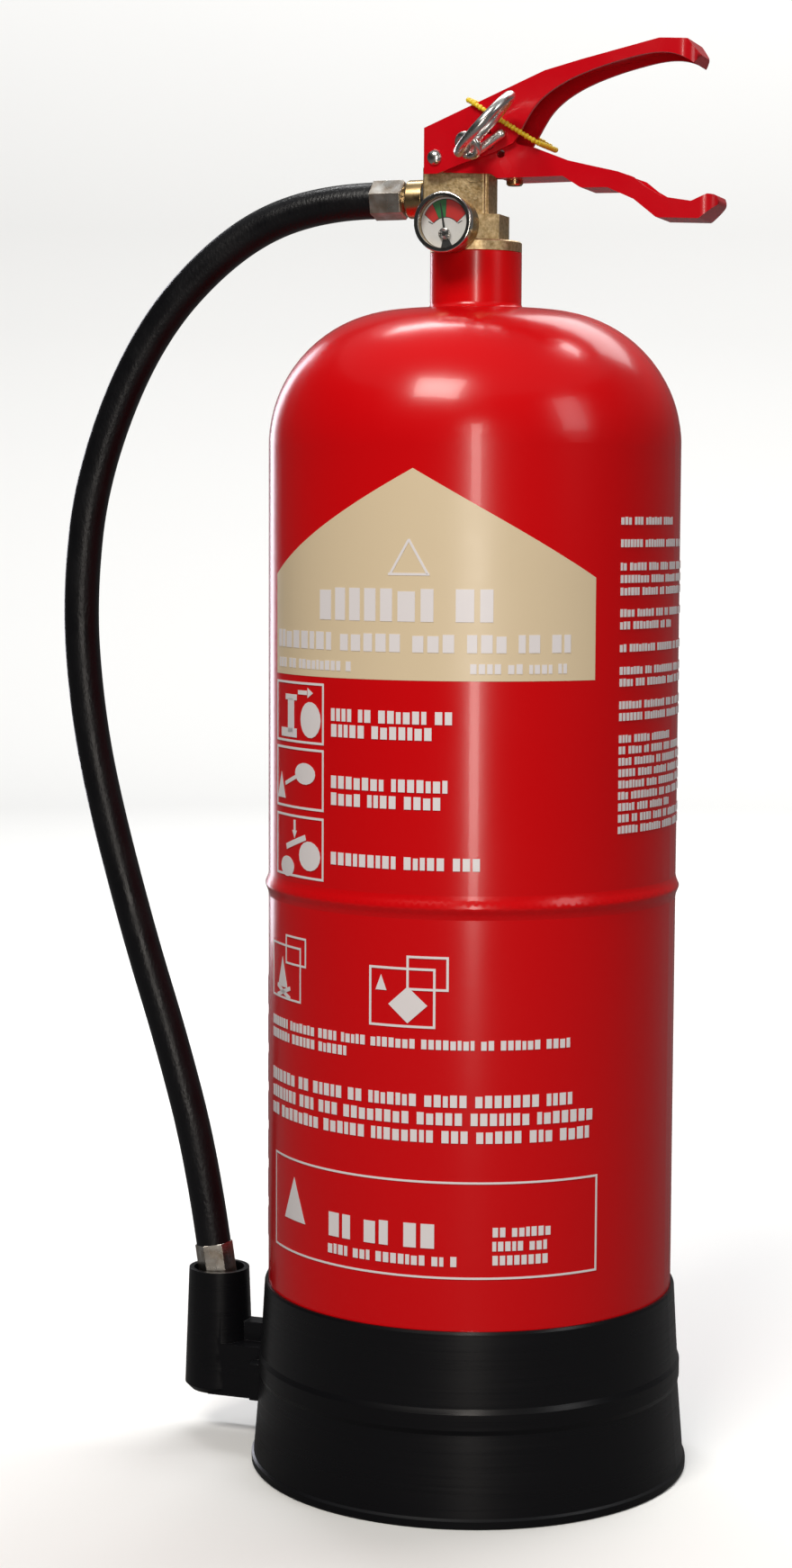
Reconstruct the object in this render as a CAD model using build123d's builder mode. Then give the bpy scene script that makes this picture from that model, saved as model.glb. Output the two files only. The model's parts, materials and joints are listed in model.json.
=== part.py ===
from build123d import *
import math
import os

os.makedirs("parts", exist_ok=True)

# Stored-pressure foam fire extinguisher, 6 litre class.  Millimetres, +Z up.
# Origin: the centre of the base skirt's foot.  The levers point along +X, the
# hose leaves along -X, and the gauge and the printed side face -Y.

# ---------------------------------------------------------------- driving sizes
# cylinder
shell_radius = 80.0
shell_wall = 1.5
shell_bottom = 10.0
shoulder_height = 402.8
knuckle_radius = 52.0
bead_height = 232.5
bead_width = 9.0
bead_rise = 1.3

# neck
neck_radius = 17.7
neck_rise = 22.2
neck_depth = 6.0
neck_weld = 2.5
thread_radius = 14.95
thread_clearance = 0.1
thread_length = 18.0

# skirt
skirt_height = 73.8
skirt_wall = 1.5
skirt_foot_flare = 6.75
skirt_bead_low = 35.0
skirt_bead_high = 45.0
skirt_bead_rise = 1.6
skirt_foot_wall = 3.0
skirt_ledge_reach = 18.0
skirt_ledge_height = 14.0
skirt_rib = 2.0
skirt_ribs = 8

# valve body
flange_height = 4.0
hex_across_flats = 22.6
hex_height = 10.0
block_back = 19.2
block_front = 5.9
block_half = 8.3
block_rise = 18.4
pivot_x = -13.0
pivot_over_block = 3.1
pivot_ear_radius = 5.2
port_drop = 11.2
port_radius = 4.0
chamber_radius = 7.0
seat_radius = 4.2
nose_length = 13.0
nose_half = 5.0
nose_height = 3.45
screw_radius = 1.5
screw_head_radius = 3.2
screw_head_height = 2.0

# stem, spring and dip tube
stem_radius = 2.5
stem_disc_radius = 6.2
stem_disc_height = 3.0
stem_play = 0.15
gland_radius = 5.4
gland_height = 8.0
gland_cap = 3.0
spring_mean_radius = 4.6
spring_wire_radius = 0.6
spring_turns = 6
plug_length = 12.0
dip_tube_radius = 6.0
dip_tube_wall = 1.4
dip_tube_clearance = 4.0
strainer_height = 18.0
strainer_wall = 1.2

# carry handle and lever
handle_half = 10.5
handle_wall = 1.8
lever_half = 12.4
lever_wall = 1.6
squeeze_angle = 12.0
rivet_radius = 2.0
rivet_head_radius = 3.0
rivet_head_height = 1.8
running_clearance = 0.05

# safety pin, ring and seal, placed from the lever's pivot
pin_ahead = 22.0
pin_over = 4.0
pin_radius = 1.7
pin_hole_clearance = 0.08
pin_bar_radius = 1.8
pin_bar_angle = 33.0
pin_bar_front = 6.2
pin_bar_back = 7.2
pin_stand_off = 0.5
eye_radius = 4.3
eye_wire_radius = 1.5
ring_wire_radius = 1.9
ring_radius = 14.05
ring_ahead = 26.0
ring_forward = 30.9
ring_over = 9.3
ring_rise_angle = 45.4
ring_turn_angle = -12.8
ring_link_angle = 52.0
seal_wire_radius = 0.9
seal_stand_off = 1.5
seal_top = (13.3, 21.1)
seal_low = (41.2, 3.9)
seal_corner = 2.5

# pressure gauge
gauge_x = -3.8
gauge_drop = 23.1
gauge_front = 30.2
gauge_radius = 11.4
gauge_depth = 12.2
gauge_wall = 1.0
gauge_back = 1.5
gauge_boss_front = 14.0
gauge_nipple_radius = 4.0
gauge_hex_apothem = 5.1
gauge_seal_radius = 0.5
bezel_depth = 3.0
bezel_wall = 0.6
bezel_lip = 0.8
bezel_opening = 9.7
lens_thickness = 0.8
dial_radius = 9.6
dial_thickness = 0.4
needle_thickness = 0.3
needle_drop = 4.2
needle_length = 11.8
needle_tail = 5.0
needle_angle = 9.0
needle_hole = 0.6
hub_radius = 2.3
coil_radius = 6.6
coil_wire_radius = 1.1

# hose, its corners as (x, z) for a shell of the radius given first
route_shell_radius = 80.0
hose_radius = 7.1
hose_route = [
    (-41.7, 498.2),
    (-67.5, 498.2),
    (-103.5, 483.3),
    (-139.3, 448.0),
    (-163.9, 392.2),
    (-170.0, 341.0),
    (-167.1, 299.6),
    (-160.1, 261.8),
    (-143.5, 203.0),
    (-129.0, 159.6),
    (-115.8, 111.9),
    (-110.6, 77.6),
]
ferrule_across_corners = 15.6
ferrule_length = 13.0
ferrule_clearance = 0.05
collar_radius = 7.4
collar_length = 7.3
nozzle_radius = 6.4
nozzle_length = 32.0
nozzle_bore = 2.0

# nozzle holder
holder_gap = 28.1
holder_top = 67.9
holder_bottom = 17.4
holder_top_radius = 12.35
holder_foot_radius = 14.2
holder_wall = 2.0
holder_floor = 22.0
holder_box_top = 39.0
holder_rib_top = 46.9
holder_rib_half = 4.0
holder_clip_half = 19.0
holder_clip_low = 19.0
holder_clip_high = 34.0
holder_clip_wall = 2.4

# side outlines of the two handles, as (x, z) from the lever's pivot
lever_top = [
    (-4.3, 11.3),
    (43.6, 30.8),
    (58.0, 34.3),
    (88.0, 40.8),
    (98.6, 40.2),
    (102.9, 34.4),
]
lever_under = [
    (100.6, 31.4),
    (92.0, 35.2),
    (77.2, 34.2),
    (61.2, 30.0),
    (48.6, 24.6),
    (39.9, 17.6),
    (34.9, 9.8),
    (31.4, 4.3),
]
lever_ear = [
    (23.2, 0.8),
    (10.6, -2.8),
    (1.2, -6.1),
    (-4.3, -6.1),
]
handle_top = [
    (-3.8, 5.5),
    (5.0, 6.3),
    (15.0, 8.3),
    (29.2, 8.3),
    (32.8, 3.9),
    (39.4, 2.5),
    (52.6, -2.7),
    (63.5, -5.4),
    (71.9, -7.4),
    (78.0, -9.6),
    (83.0, -13.6),
    (89.5, -17.3),
    (100.4, -19.2),
    (106.4, -16.6),
    (109.2, -16.9),
]
handle_under = [
    (110.6, -19.9),
    (103.4, -25.7),
    (87.0, -24.9),
    (78.3, -17.9),
    (68.0, -13.2),
    (57.6, -13.0),
    (50.5, -8.4),
    (24.5, -8.4),
    (22.0, -6.7),
    (-3.8, -5.2),
]
handle_window = 25.2
handle_nose = 3.2
handle_nose_radius = 7.0
lever_nose_radius = 8.0
spare_hole = (26.0, 0.7)
spare_hole_radius = 1.6

# ------------------------------------------------------------- worked-out sizes
shell_top = shoulder_height + knuckle_radius
crown_radius = shell_radius - knuckle_radius
lower_knuckle = shell_bottom + knuckle_radius
neck_top = shell_top + neck_rise
flange_top = neck_top + flange_height
hex_top = flange_top + hex_height
block_top = hex_top + block_rise
pivot_z = block_top + pivot_over_block
port_z = block_top - port_drop
chamber_bottom = neck_top - thread_length
seat_z = hex_top - 3.0
gauge_z = block_top - gauge_drop
screw_x = block_front + nose_length - 3.5
pin_x = pivot_x + pin_ahead
pin_z = pivot_z + pin_over
holder_x = -shell_radius - holder_gap


def from_pivot(points):
    """Points given from the lever's pivot, as (x, z) in the part's frame."""
    return [(pivot_x + x, pivot_z + z) for x, z in points]


def fitted_route(points):
    """The hose's corners, kept off the shell's side and stretched up to the valve's port."""
    top = points[0][1]
    foot = points[-1][1]
    stretch = (port_z - foot) / (top - foot)
    outward = route_shell_radius - shell_radius
    level_run = points[:2]
    hanging_run = [(x + outward, z) for x, z in points[2:]]
    return [(x, foot + (z - foot) * stretch) for x, z in level_run + hanging_run]


def moved_inside(points, distance):
    """An open outline moved to its right-hand side by a wall's thickness."""
    corners = [Vector(x, z) for x, z in points]
    runs = [(b - a).normalized() for a, b in zip(corners, corners[1:])]
    sides = [Vector(run.Y, -run.X) for run in runs]
    moved = [corners[0] + sides[0] * distance]
    for corner, before, after in zip(corners[1:], sides, sides[1:]):
        bisector = (before + after).normalized()
        moved.append(corner + bisector * (distance / bisector.dot(before)))
    moved.append(corners[-1] + sides[-1] * distance)
    return [(point.X, point.Y) for point in moved]


def plan_block(nose, half, corner):
    """A tall block as wide as a grip, with its nose rounded as seen from above."""
    outline = Pos(nose - 200, 0, pivot_z) * RectangleRounded(400, 2 * half, corner)
    return extrude(outline, amount=150, both=True)


def dome_profile(radius, knuckle, low, high):
    """Closed half section of a cylinder with a rounded shoulder at each end."""
    crown = radius - knuckle
    with BuildLine() as line:
        Line((0, low), (crown, low))
        RadiusArc((crown, low), (radius, low + knuckle), -knuckle)
        Line((radius, low + knuckle), (radius, high - knuckle))
        RadiusArc((radius, high - knuckle), (crown, high), -knuckle)
        Line((crown, high), (0, high))
        Line((0, high), (0, low))
    return line.line


# --------------------------------------------------------------- cylinder shell
with BuildPart() as cylinder_shell:
    with BuildSketch(Plane.XZ) as outer:
        with BuildLine():
            add(dome_profile(shell_radius, knuckle_radius, shell_bottom, shell_top))
        make_face()
    revolve(axis=Axis.Z)
    with BuildSketch(Plane.XZ) as bead:
        with BuildLine():
            half = bead_width / 2
            Spline(
                (shell_radius, bead_height - half),
                (shell_radius + bead_rise, bead_height),
                (shell_radius, bead_height + half),
                tangents=[(0.0, 1.0), (0.0, 1.0)],
            )
            Polyline(
                (shell_radius, bead_height + half),
                (shell_radius - 0.5, bead_height + half),
                (shell_radius - 0.5, bead_height - half),
                (shell_radius, bead_height - half),
            )
        make_face()
    revolve(axis=Axis.Z)
    with BuildSketch(Plane.XZ) as inner:
        with BuildLine():
            add(dome_profile(
                shell_radius - shell_wall,
                knuckle_radius - shell_wall,
                shell_bottom + shell_wall,
                shell_top - shell_wall,
            ))
        make_face()
    revolve(axis=Axis.Z, mode=Mode.SUBTRACT)
    with Locations((0, 0, shell_top)):
        Cylinder(neck_radius, 4 * shell_wall, mode=Mode.SUBTRACT)
cylinder_shell.part.label = "cylinder_shell"
export_step(cylinder_shell.part, "parts/cylinder_shell.step")

# -------------------------------------------------------------------- neck ring
with BuildPart() as neck_ring:
    with BuildSketch(Plane.XZ) as neck_section:
        bore = thread_radius + thread_clearance
        with BuildLine():
            Polyline(
                (bore, shell_top - neck_depth),
                (neck_radius, shell_top - neck_depth),
                (neck_radius, shell_top),
                (neck_radius + neck_weld, shell_top),
            )
            RadiusArc((neck_radius + neck_weld, shell_top),
                      (neck_radius, shell_top + neck_weld), neck_weld * 1.3)
            Polyline(
                (neck_radius, shell_top + neck_weld),
                (neck_radius, neck_top - 0.4),
                (neck_radius - 0.4, neck_top),
                (bore, neck_top),
                (bore, shell_top - neck_depth),
            )
        make_face()
    revolve(axis=Axis.Z)
neck_ring.part.label = "neck_ring"
export_step(neck_ring.part, "parts/neck_ring.step")

# ------------------------------------------------------------------- base skirt
skirt_top_radius = shell_radius + skirt_wall
skirt_bead_radius = skirt_top_radius + skirt_bead_rise
skirt_foot_radius = shell_radius + skirt_foot_flare
skirt_ledge_radius = shell_radius - skirt_ledge_reach
with BuildPart() as base_skirt:
    with BuildSketch(Plane.XZ) as skirt_section:
        inside = shell_radius + 0.1
        with BuildLine():
            Polyline(
                (inside, skirt_height),
                (skirt_top_radius - 0.4, skirt_height),
                (skirt_top_radius, skirt_height - 1.0),
                (skirt_bead_radius, skirt_bead_high),
                (skirt_bead_radius + 0.8, skirt_bead_high - 2.0),
                (skirt_bead_radius + 0.8, skirt_bead_low + 2.0),
                (skirt_bead_radius + 0.2, skirt_bead_low),
                (skirt_foot_radius - 0.9, 4.0),
                (skirt_foot_radius, 3.2),
                (skirt_foot_radius, 0.8),
                (skirt_foot_radius - 0.8, 0.0),
                (skirt_foot_radius - skirt_foot_wall, 0.0),
                (inside + 1.0, skirt_bead_low),
                (inside + 1.0, skirt_ledge_height + 3.0),
                (skirt_ledge_radius, skirt_ledge_height + 3.0),
                (skirt_ledge_radius, skirt_ledge_height + 16.0),
                (inside, skirt_ledge_height + 40.0),
                (inside, skirt_height),
            )
        make_face()
    revolve(axis=Axis.Z)
    with PolarLocations((skirt_ledge_radius + inside + 4.4) / 2, skirt_ribs):
        rib_length = inside + 4.4 - skirt_ledge_radius
        with Locations((0, 0, (skirt_ledge_height + 4.0) / 2 + 3.0)):
            Box(rib_length, skirt_rib, skirt_ledge_height - 2.0)
    with BuildSketch(Plane.XZ) as seat_for_shell:
        with BuildLine():
            add(dome_profile(
                shell_radius + 0.1,
                knuckle_radius + 0.1,
                shell_bottom - 0.1,
                shell_top,
            ))
        make_face()
    revolve(axis=Axis.Z, mode=Mode.SUBTRACT)
base_skirt.part.label = "base_skirt"
export_step(base_skirt.part, "parts/base_skirt.step")

# ---------------------------------------------------------------- nozzle holder
with BuildPart() as nozzle_holder:
    with BuildSketch(Plane.XY.offset(holder_bottom)) as cup_foot:
        with Locations((holder_x, 0)):
            Circle(holder_foot_radius)
    with BuildSketch(Plane.XY.offset(holder_top)) as cup_rim:
        with Locations((holder_x, 0)):
            Circle(holder_top_radius)
    loft()
    chamfer(edges().group_by(Axis.Z)[0], 2.6)
    arm_end = -shell_radius + 2.0
    box_half = holder_top_radius
    with BuildSketch(Plane.XY.offset(holder_bottom)) as arm_box:
        with Locations(((holder_x + arm_end) / 2, 0)):
            Rectangle(arm_end - holder_x, 2 * box_half)
    extrude(amount=holder_box_top - holder_bottom)
    with BuildSketch(Plane.XY.offset(holder_box_top)) as arm_rib:
        with Locations(((holder_x + arm_end) / 2, 0)):
            Rectangle(arm_end - holder_x, 2 * holder_rib_half)
    extrude(amount=holder_rib_top - holder_box_top)
    with BuildSketch(Plane.XY.offset(holder_clip_low)) as clip:
        with Locations((-skirt_bead_radius, 0)):
            Rectangle(2 * holder_clip_wall + 14.0, 2 * holder_clip_half)
        Circle(skirt_foot_radius + holder_clip_wall, mode=Mode.INTERSECT)
    extrude(amount=holder_clip_high - holder_clip_low)
    with BuildSketch(Plane.XY.offset(holder_floor)) as cup_floor:
        with Locations((holder_x, 0)):
            Circle(holder_foot_radius - holder_wall - 0.4)
    with BuildSketch(Plane.XY.offset(holder_top)) as cup_mouth:
        with Locations((holder_x, 0)):
            Circle(holder_top_radius - holder_wall)
    loft(mode=Mode.SUBTRACT)
    with BuildSketch(Plane.XZ) as skirt_room:
        with BuildLine():
            Polyline(
                (0, 0),
                (skirt_foot_radius + 0.1, 0),
                (skirt_foot_radius + 0.1, 3.2),
                (skirt_foot_radius - 0.7, 4.2),
                (skirt_bead_radius + 0.3, skirt_bead_low - 0.1),
                (skirt_bead_radius + 0.9, skirt_bead_low + 1.9),
                (skirt_bead_radius + 0.9, skirt_bead_high - 1.9),
                (skirt_bead_radius + 0.1, skirt_bead_high + 0.1),
                (skirt_top_radius + 0.1, skirt_height),
                (0, skirt_height),
                (0, 0),
            )
        make_face()
    revolve(axis=Axis.Z, mode=Mode.SUBTRACT)
nozzle_holder.part.label = "nozzle_holder"
export_step(nozzle_holder.part, "parts/nozzle_holder.step")

# ------------------------------------------------------------------- valve body
with BuildPart() as valve_body:
    with Locations((0, 0, neck_top)):
        Cylinder(neck_radius, flange_height, align=(Align.CENTER, Align.CENTER, Align.MIN))
        chamfer(edges().filter_by(GeomType.CIRCLE).sort_by(Axis.Z)[-1], 0.5)
    with BuildSketch(Plane.XY.offset(flange_top)) as hex_section:
        RegularPolygon(hex_across_flats / 2, 6, major_radius=False, rotation=30)
    extrude(amount=hex_height)
    block_length = block_back + block_front
    block_centre = (block_front - block_back) / 2
    with BuildSketch(Plane.XY.offset(hex_top - 4.0)) as block_section:
        with Locations((block_centre, 0)):
            RectangleRounded(block_length, 2 * block_half, 0.8)
        with Locations((block_front, 0)):
            Rectangle(1.6, 11.0)
        with GridLocations(0, 13.2, 1, 2):
            with Locations((block_front, 0)):
                Circle(0.9, mode=Mode.SUBTRACT)
    extrude(amount=block_top - hex_top + 4.0)
    with BuildSketch(Plane.XZ) as ear_section:
        with Locations((pivot_x, pivot_z)):
            Circle(pivot_ear_radius)
        with Locations((pivot_x, block_top - 2.0)):
            Rectangle(2 * pivot_ear_radius, 2 * pivot_over_block + 4.0)
    extrude(amount=block_half, both=True)
    with BuildSketch(Plane.XZ) as nose_section:
        with Locations((block_front + nose_length / 2 - 1.0, block_top - nose_height / 2)):
            Rectangle(nose_length + 2.0, nose_height)
    extrude(amount=nose_half, both=True)
    with BuildSketch(Plane.XZ.offset(block_half)) as pill:
        with Locations((2.1, block_top - 4.6)):
            SlotOverall(6.4, 3.2)
    extrude(amount=0.35)
    with BuildSketch(Plane.XZ) as gauge_boss:
        with Locations((gauge_x, gauge_z)):
            Circle(gauge_nipple_radius + 3.0)
    extrude(amount=gauge_boss_front)
    # threaded shank
    with Locations((0, 0, neck_top)):
        Cylinder(thread_radius, thread_length, align=(Align.CENTER, Align.CENTER, Align.MAX))
    # recess for the neck seal, under the flange
    with BuildSketch(Plane.XZ) as seal_recess:
        with BuildLine():
            Polyline(
                (thread_radius - 1.0, neck_top),
                (thread_radius + 1.9, neck_top),
                (thread_radius + 1.9, neck_top + 1.8),
                (thread_radius - 1.0, neck_top + 1.8),
                close=True,
            )
        make_face()
    revolve(axis=Axis.Z, mode=Mode.SUBTRACT)
    # spring chamber, seat, outlet chamber and gland bore
    with Locations((0, 0, chamber_bottom)):
        Cylinder(chamber_radius, seat_z - chamber_bottom,
                 align=(Align.CENTER, Align.CENTER, Align.MIN), mode=Mode.SUBTRACT)
    with Locations((0, 0, seat_z)):
        Cylinder(seat_radius, 8.0,
                 align=(Align.CENTER, Align.CENTER, Align.MIN), mode=Mode.SUBTRACT)
    with Locations((0, 0, seat_z + 2.5)):
        Cylinder(gland_radius + 0.05, block_top - seat_z,
                 align=(Align.CENTER, Align.CENTER, Align.MIN), mode=Mode.SUBTRACT)
    # outlet port, gauge port and pivot hole
    with BuildSketch(Plane.YZ.offset(-block_back)) as outlet_port:
        with Locations((0, port_z)):
            Circle(port_radius)
    extrude(amount=block_back, mode=Mode.SUBTRACT)
    with BuildSketch(Plane.YZ.offset(-block_back)) as outlet_thread:
        with Locations((0, port_z)):
            Circle(6.0)
    extrude(amount=8.0, mode=Mode.SUBTRACT)
    with BuildSketch(Plane.XZ.offset(gauge_boss_front)) as gauge_port:
        with Locations((gauge_x, gauge_z)):
            Circle(gauge_nipple_radius + 0.05)
    extrude(amount=-5.5, mode=Mode.SUBTRACT)
    with BuildSketch(Plane.XZ.offset(10.0)) as gauge_passage:
        with Locations((gauge_x, gauge_z)):
            Circle(1.2)
    extrude(amount=-7.0, mode=Mode.SUBTRACT)
    with Locations((pivot_x, 0, pivot_z)):
        Cylinder(rivet_radius, 2 * lever_half, rotation=(90, 0, 0), mode=Mode.SUBTRACT)
    with Locations((screw_x, 0, block_top)):
        Cylinder(screw_radius + running_clearance, 12.0, mode=Mode.SUBTRACT)
valve_body.part.label = "valve_body"
export_step(valve_body.part, "parts/valve_body.step")

# ------------------------------------------------------------------ neck o-ring
neck_seal_radius = 0.9
with BuildPart() as neck_o_ring:
    with Locations((0, 0, neck_top + neck_seal_radius)):
        Torus(thread_radius + 1.0, neck_seal_radius)
neck_o_ring.part.label = "neck_o_ring"
export_step(neck_o_ring.part, "parts/neck_o_ring.step")

# --------------------------------------------- outlines of both grips from above
handle_tip = pivot_x + handle_under[0][0]
lever_tip = pivot_x + lever_top[-1][0]
handle_cavity = handle_tip - handle_nose
lever_cavity = pivot_x + lever_under[0][0] - lever_wall
handle_plan = plan_block(handle_tip, handle_half, handle_nose_radius)
handle_plan_inside = plan_block(
    handle_cavity, handle_half - handle_wall, handle_nose_radius - handle_wall
)
lever_plan = plan_block(lever_tip, lever_half, lever_nose_radius)
lever_plan_inside = plan_block(
    lever_cavity, lever_half - lever_wall, lever_nose_radius - lever_wall
)

# ----------------------------------------------------------------- carry handle
with BuildPart() as carry_handle:
    with BuildSketch(Plane.XZ) as handle_side:
        with BuildLine():
            Polyline(*from_pivot(handle_top + handle_under), close=True)
        make_face()
        fillet(handle_side.vertices().sort_by(Axis.X)[4:], 1.6)
    extrude(amount=handle_half, both=True)
    add(handle_plan, mode=Mode.INTERSECT)
    with BuildSketch(Plane.XZ) as handle_inside:
        with BuildLine():
            under = from_pivot(list(reversed(handle_under)))
            floor = moved_inside(under, -handle_wall)
            nose = handle_cavity
            floor = [p for p in floor if p[0] < nose]
            Polyline(
                *floor,
                (nose, floor[-1][1] + handle_wall),
                (nose, pivot_z + 40),
                (floor[0][0] - 10, pivot_z + 40),
                (floor[0][0] - 10, floor[0][1]),
                close=True,
            )
        make_face()
    hollow = extrude(amount=handle_half - handle_wall, both=True, mode=Mode.PRIVATE)
    add(hollow & handle_plan_inside, mode=Mode.SUBTRACT)
    with BuildSketch(Plane.XZ) as block_window:
        with Locations((pivot_x + handle_window - 50, pivot_z)):
            Rectangle(100, 60)
    extrude(amount=handle_half - handle_wall, both=True, mode=Mode.SUBTRACT)
    with Locations((pivot_x, 0, pivot_z)):
        Cylinder(rivet_radius, 3 * handle_half, rotation=(90, 0, 0), mode=Mode.SUBTRACT)
    with Locations((pin_x, 0, pin_z)):
        Cylinder(pin_radius + pin_hole_clearance, 3 * handle_half,
                 rotation=(90, 0, 0), mode=Mode.SUBTRACT)
    with Locations((pivot_x + spare_hole[0], 0, pivot_z + spare_hole[1])):
        Cylinder(spare_hole_radius, 3 * handle_half,
                 rotation=(90, 0, 0), mode=Mode.SUBTRACT)
    with Locations((screw_x, 0, pivot_z - 8.0)):
        Cylinder(screw_radius + running_clearance, 6.0, mode=Mode.SUBTRACT)
carry_handle.part.label = "carry_handle"
export_step(carry_handle.part, "parts/carry_handle.step")

# ---------------------------------------------------------------- handle screw
screw_seat = pivot_z + handle_under[7][1]
with BuildPart() as handle_screw:
    with Locations((screw_x, 0, screw_seat)):
        Cylinder(screw_head_radius, screw_head_height,
                 align=(Align.CENTER, Align.CENTER, Align.MAX))
        chamfer(edges().filter_by(GeomType.CIRCLE).sort_by(Axis.Z)[0], 0.6)
        Cylinder(screw_radius, block_top - screw_seat,
                 align=(Align.CENTER, Align.CENTER, Align.MIN))
    with Locations((screw_x, 0, screw_seat - screw_head_height)):
        Box(4.6, 0.9, 1.4, mode=Mode.SUBTRACT)
handle_screw.part.label = "handle_screw"
export_step(handle_screw.part, "parts/handle_screw.step")

# -------------------------------------------------------------- operating lever
slot_radius = math.hypot(pin_ahead, pin_over)
slot_start = math.degrees(math.atan2(pin_over, pin_ahead))
with BuildPart() as operating_lever:
    with BuildSketch(Plane.XZ) as lever_side:
        with BuildLine():
            Polyline(*from_pivot([lever_ear[-1]] + lever_top + lever_under[:1]))
            Spline(*from_pivot(lever_under))
            Polyline(*from_pivot(lever_under[-1:] + lever_ear))
        make_face()
        fillet(lever_side.vertices().sort_by(Axis.Y)[:1], 4.0)
    extrude(amount=lever_half, both=True)
    add(lever_plan, mode=Mode.INTERSECT)
    with BuildSketch(Plane.XZ) as lever_inside:
        with BuildLine():
            roof = moved_inside(from_pivot(lever_top), lever_wall)
            slope = (roof[1][1] - roof[0][1]) / (roof[1][0] - roof[0][0])
            nose = lever_cavity
            share = (nose - roof[-2][0]) / (roof[-1][0] - roof[-2][0])
            Polyline(
                (roof[0][0] - 10, roof[0][1] - 10 * slope),
                *roof[1:-1],
                (nose, roof[-2][1] + share * (roof[-1][1] - roof[-2][1])),
                (nose, pivot_z - 40),
                (roof[0][0] - 10, pivot_z - 40),
                close=True,
            )
        make_face()
    hollow = extrude(amount=lever_half - lever_wall, both=True, mode=Mode.PRIVATE)
    add(hollow & lever_plan_inside, mode=Mode.SUBTRACT)
    with BuildSketch(Plane.XZ) as pin_slot:
        slot_arc = Edge.make_circle(slot_radius, Plane.XY, slot_start,
                                    slot_start + squeeze_angle + 0.5)
        SlotArc(Pos(pivot_x, pivot_z) * slot_arc, 2 * (pin_radius + 0.2))
    extrude(amount=2 * lever_half, both=True, mode=Mode.SUBTRACT)
    with Locations((pivot_x, 0, pivot_z)):
        Cylinder(rivet_radius + running_clearance, 3 * lever_half,
                 rotation=(90, 0, 0), mode=Mode.SUBTRACT)
operating_lever.part.label = "operating_lever"
export_step(operating_lever.part, "parts/operating_lever.step")

# ------------------------------------------------------------------ lever pivot
with BuildPart() as lever_pivot:
    with Locations((pivot_x, 0, pivot_z)):
        Cylinder(rivet_radius, 2 * (lever_half + 0.1), rotation=(90, 0, 0))
    head_middle = lever_half + 0.1 + rivet_head_height / 2
    with Locations((pivot_x, head_middle, pivot_z), (pivot_x, -head_middle, pivot_z)):
        Cylinder(rivet_head_radius, rivet_head_height, rotation=(90, 0, 0))
    fillet(edges().filter_by(GeomType.CIRCLE).group_by(Axis.Y)[0], 0.75 * rivet_head_height)
    fillet(edges().filter_by(GeomType.CIRCLE).group_by(Axis.Y)[-1], 0.75 * rivet_head_height)
lever_pivot.part.label = "lever_pivot"
export_step(lever_pivot.part, "parts/lever_pivot.step")

# ------------------------------------------------------- stem, seals and spring
web_slope = math.atan2(lever_top[1][1] - lever_top[0][1], lever_top[1][0] - lever_top[0][0])
web_over_stem = pivot_z + lever_top[0][1] - (pivot_x + lever_top[0][0]) * math.tan(web_slope)
dome_centre = web_over_stem - (lever_wall + stem_radius + stem_play) / math.cos(web_slope)
seal_height = 2.0
disc_top = seat_z - 0.02 - seal_height
disc_bottom = disc_top - stem_disc_height
plug_top = chamber_bottom + plug_length - 4.0
guide_radius = 2.0
with BuildPart() as valve_stem:
    with Locations((0, 0, disc_top)):
        Cylinder(stem_radius, dome_centre - disc_top,
                 align=(Align.CENTER, Align.CENTER, Align.MIN))
        Cylinder(stem_disc_radius, stem_disc_height,
                 align=(Align.CENTER, Align.CENTER, Align.MAX))
    with Locations((0, 0, disc_bottom)):
        Cylinder(guide_radius, disc_bottom - plug_top - 1.0,
                 align=(Align.CENTER, Align.CENTER, Align.MAX))
    with Locations((0, 0, dome_centre)):
        Sphere(stem_radius)
valve_stem.part.label = "valve_stem"
export_step(valve_stem.part, "parts/valve_stem.step")

with BuildPart() as stem_seal:
    with Locations((0, 0, disc_top)):
        Cylinder(stem_disc_radius - 0.3, seal_height,
                 align=(Align.CENTER, Align.CENTER, Align.MIN))
        Cylinder(stem_radius, seal_height,
                 align=(Align.CENTER, Align.CENTER, Align.MIN), mode=Mode.SUBTRACT)
stem_seal.part.label = "stem_seal"
export_step(stem_seal.part, "parts/stem_seal.step")

with BuildPart() as gland_nut:
    with Locations((0, 0, block_top)):
        Cylinder(gland_radius, gland_height - 1.0,
                 align=(Align.CENTER, Align.CENTER, Align.MAX))
    with BuildSketch(Plane.XY.offset(block_top)) as gland_hex:
        RegularPolygon(gland_radius + 0.2, 6, major_radius=False)
    extrude(amount=gland_cap)
    with Locations((0, 0, block_top)):
        Cylinder(stem_radius + running_clearance, 4 * gland_height, mode=Mode.SUBTRACT)
    with Locations((0, 0, block_top - gland_height + 1.0)):
        Cylinder(stem_radius + 1.2, 1.6,
                 align=(Align.CENTER, Align.CENTER, Align.MIN), mode=Mode.SUBTRACT)
gland_nut.part.label = "gland_nut"
export_step(gland_nut.part, "parts/gland_nut.step")

with BuildPart() as stem_o_ring:
    with Locations((0, 0, block_top - gland_height + 1.8)):
        Torus(stem_radius + 0.65, 0.55)
stem_o_ring.part.label = "stem_o_ring"
export_step(stem_o_ring.part, "parts/stem_o_ring.step")

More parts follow.
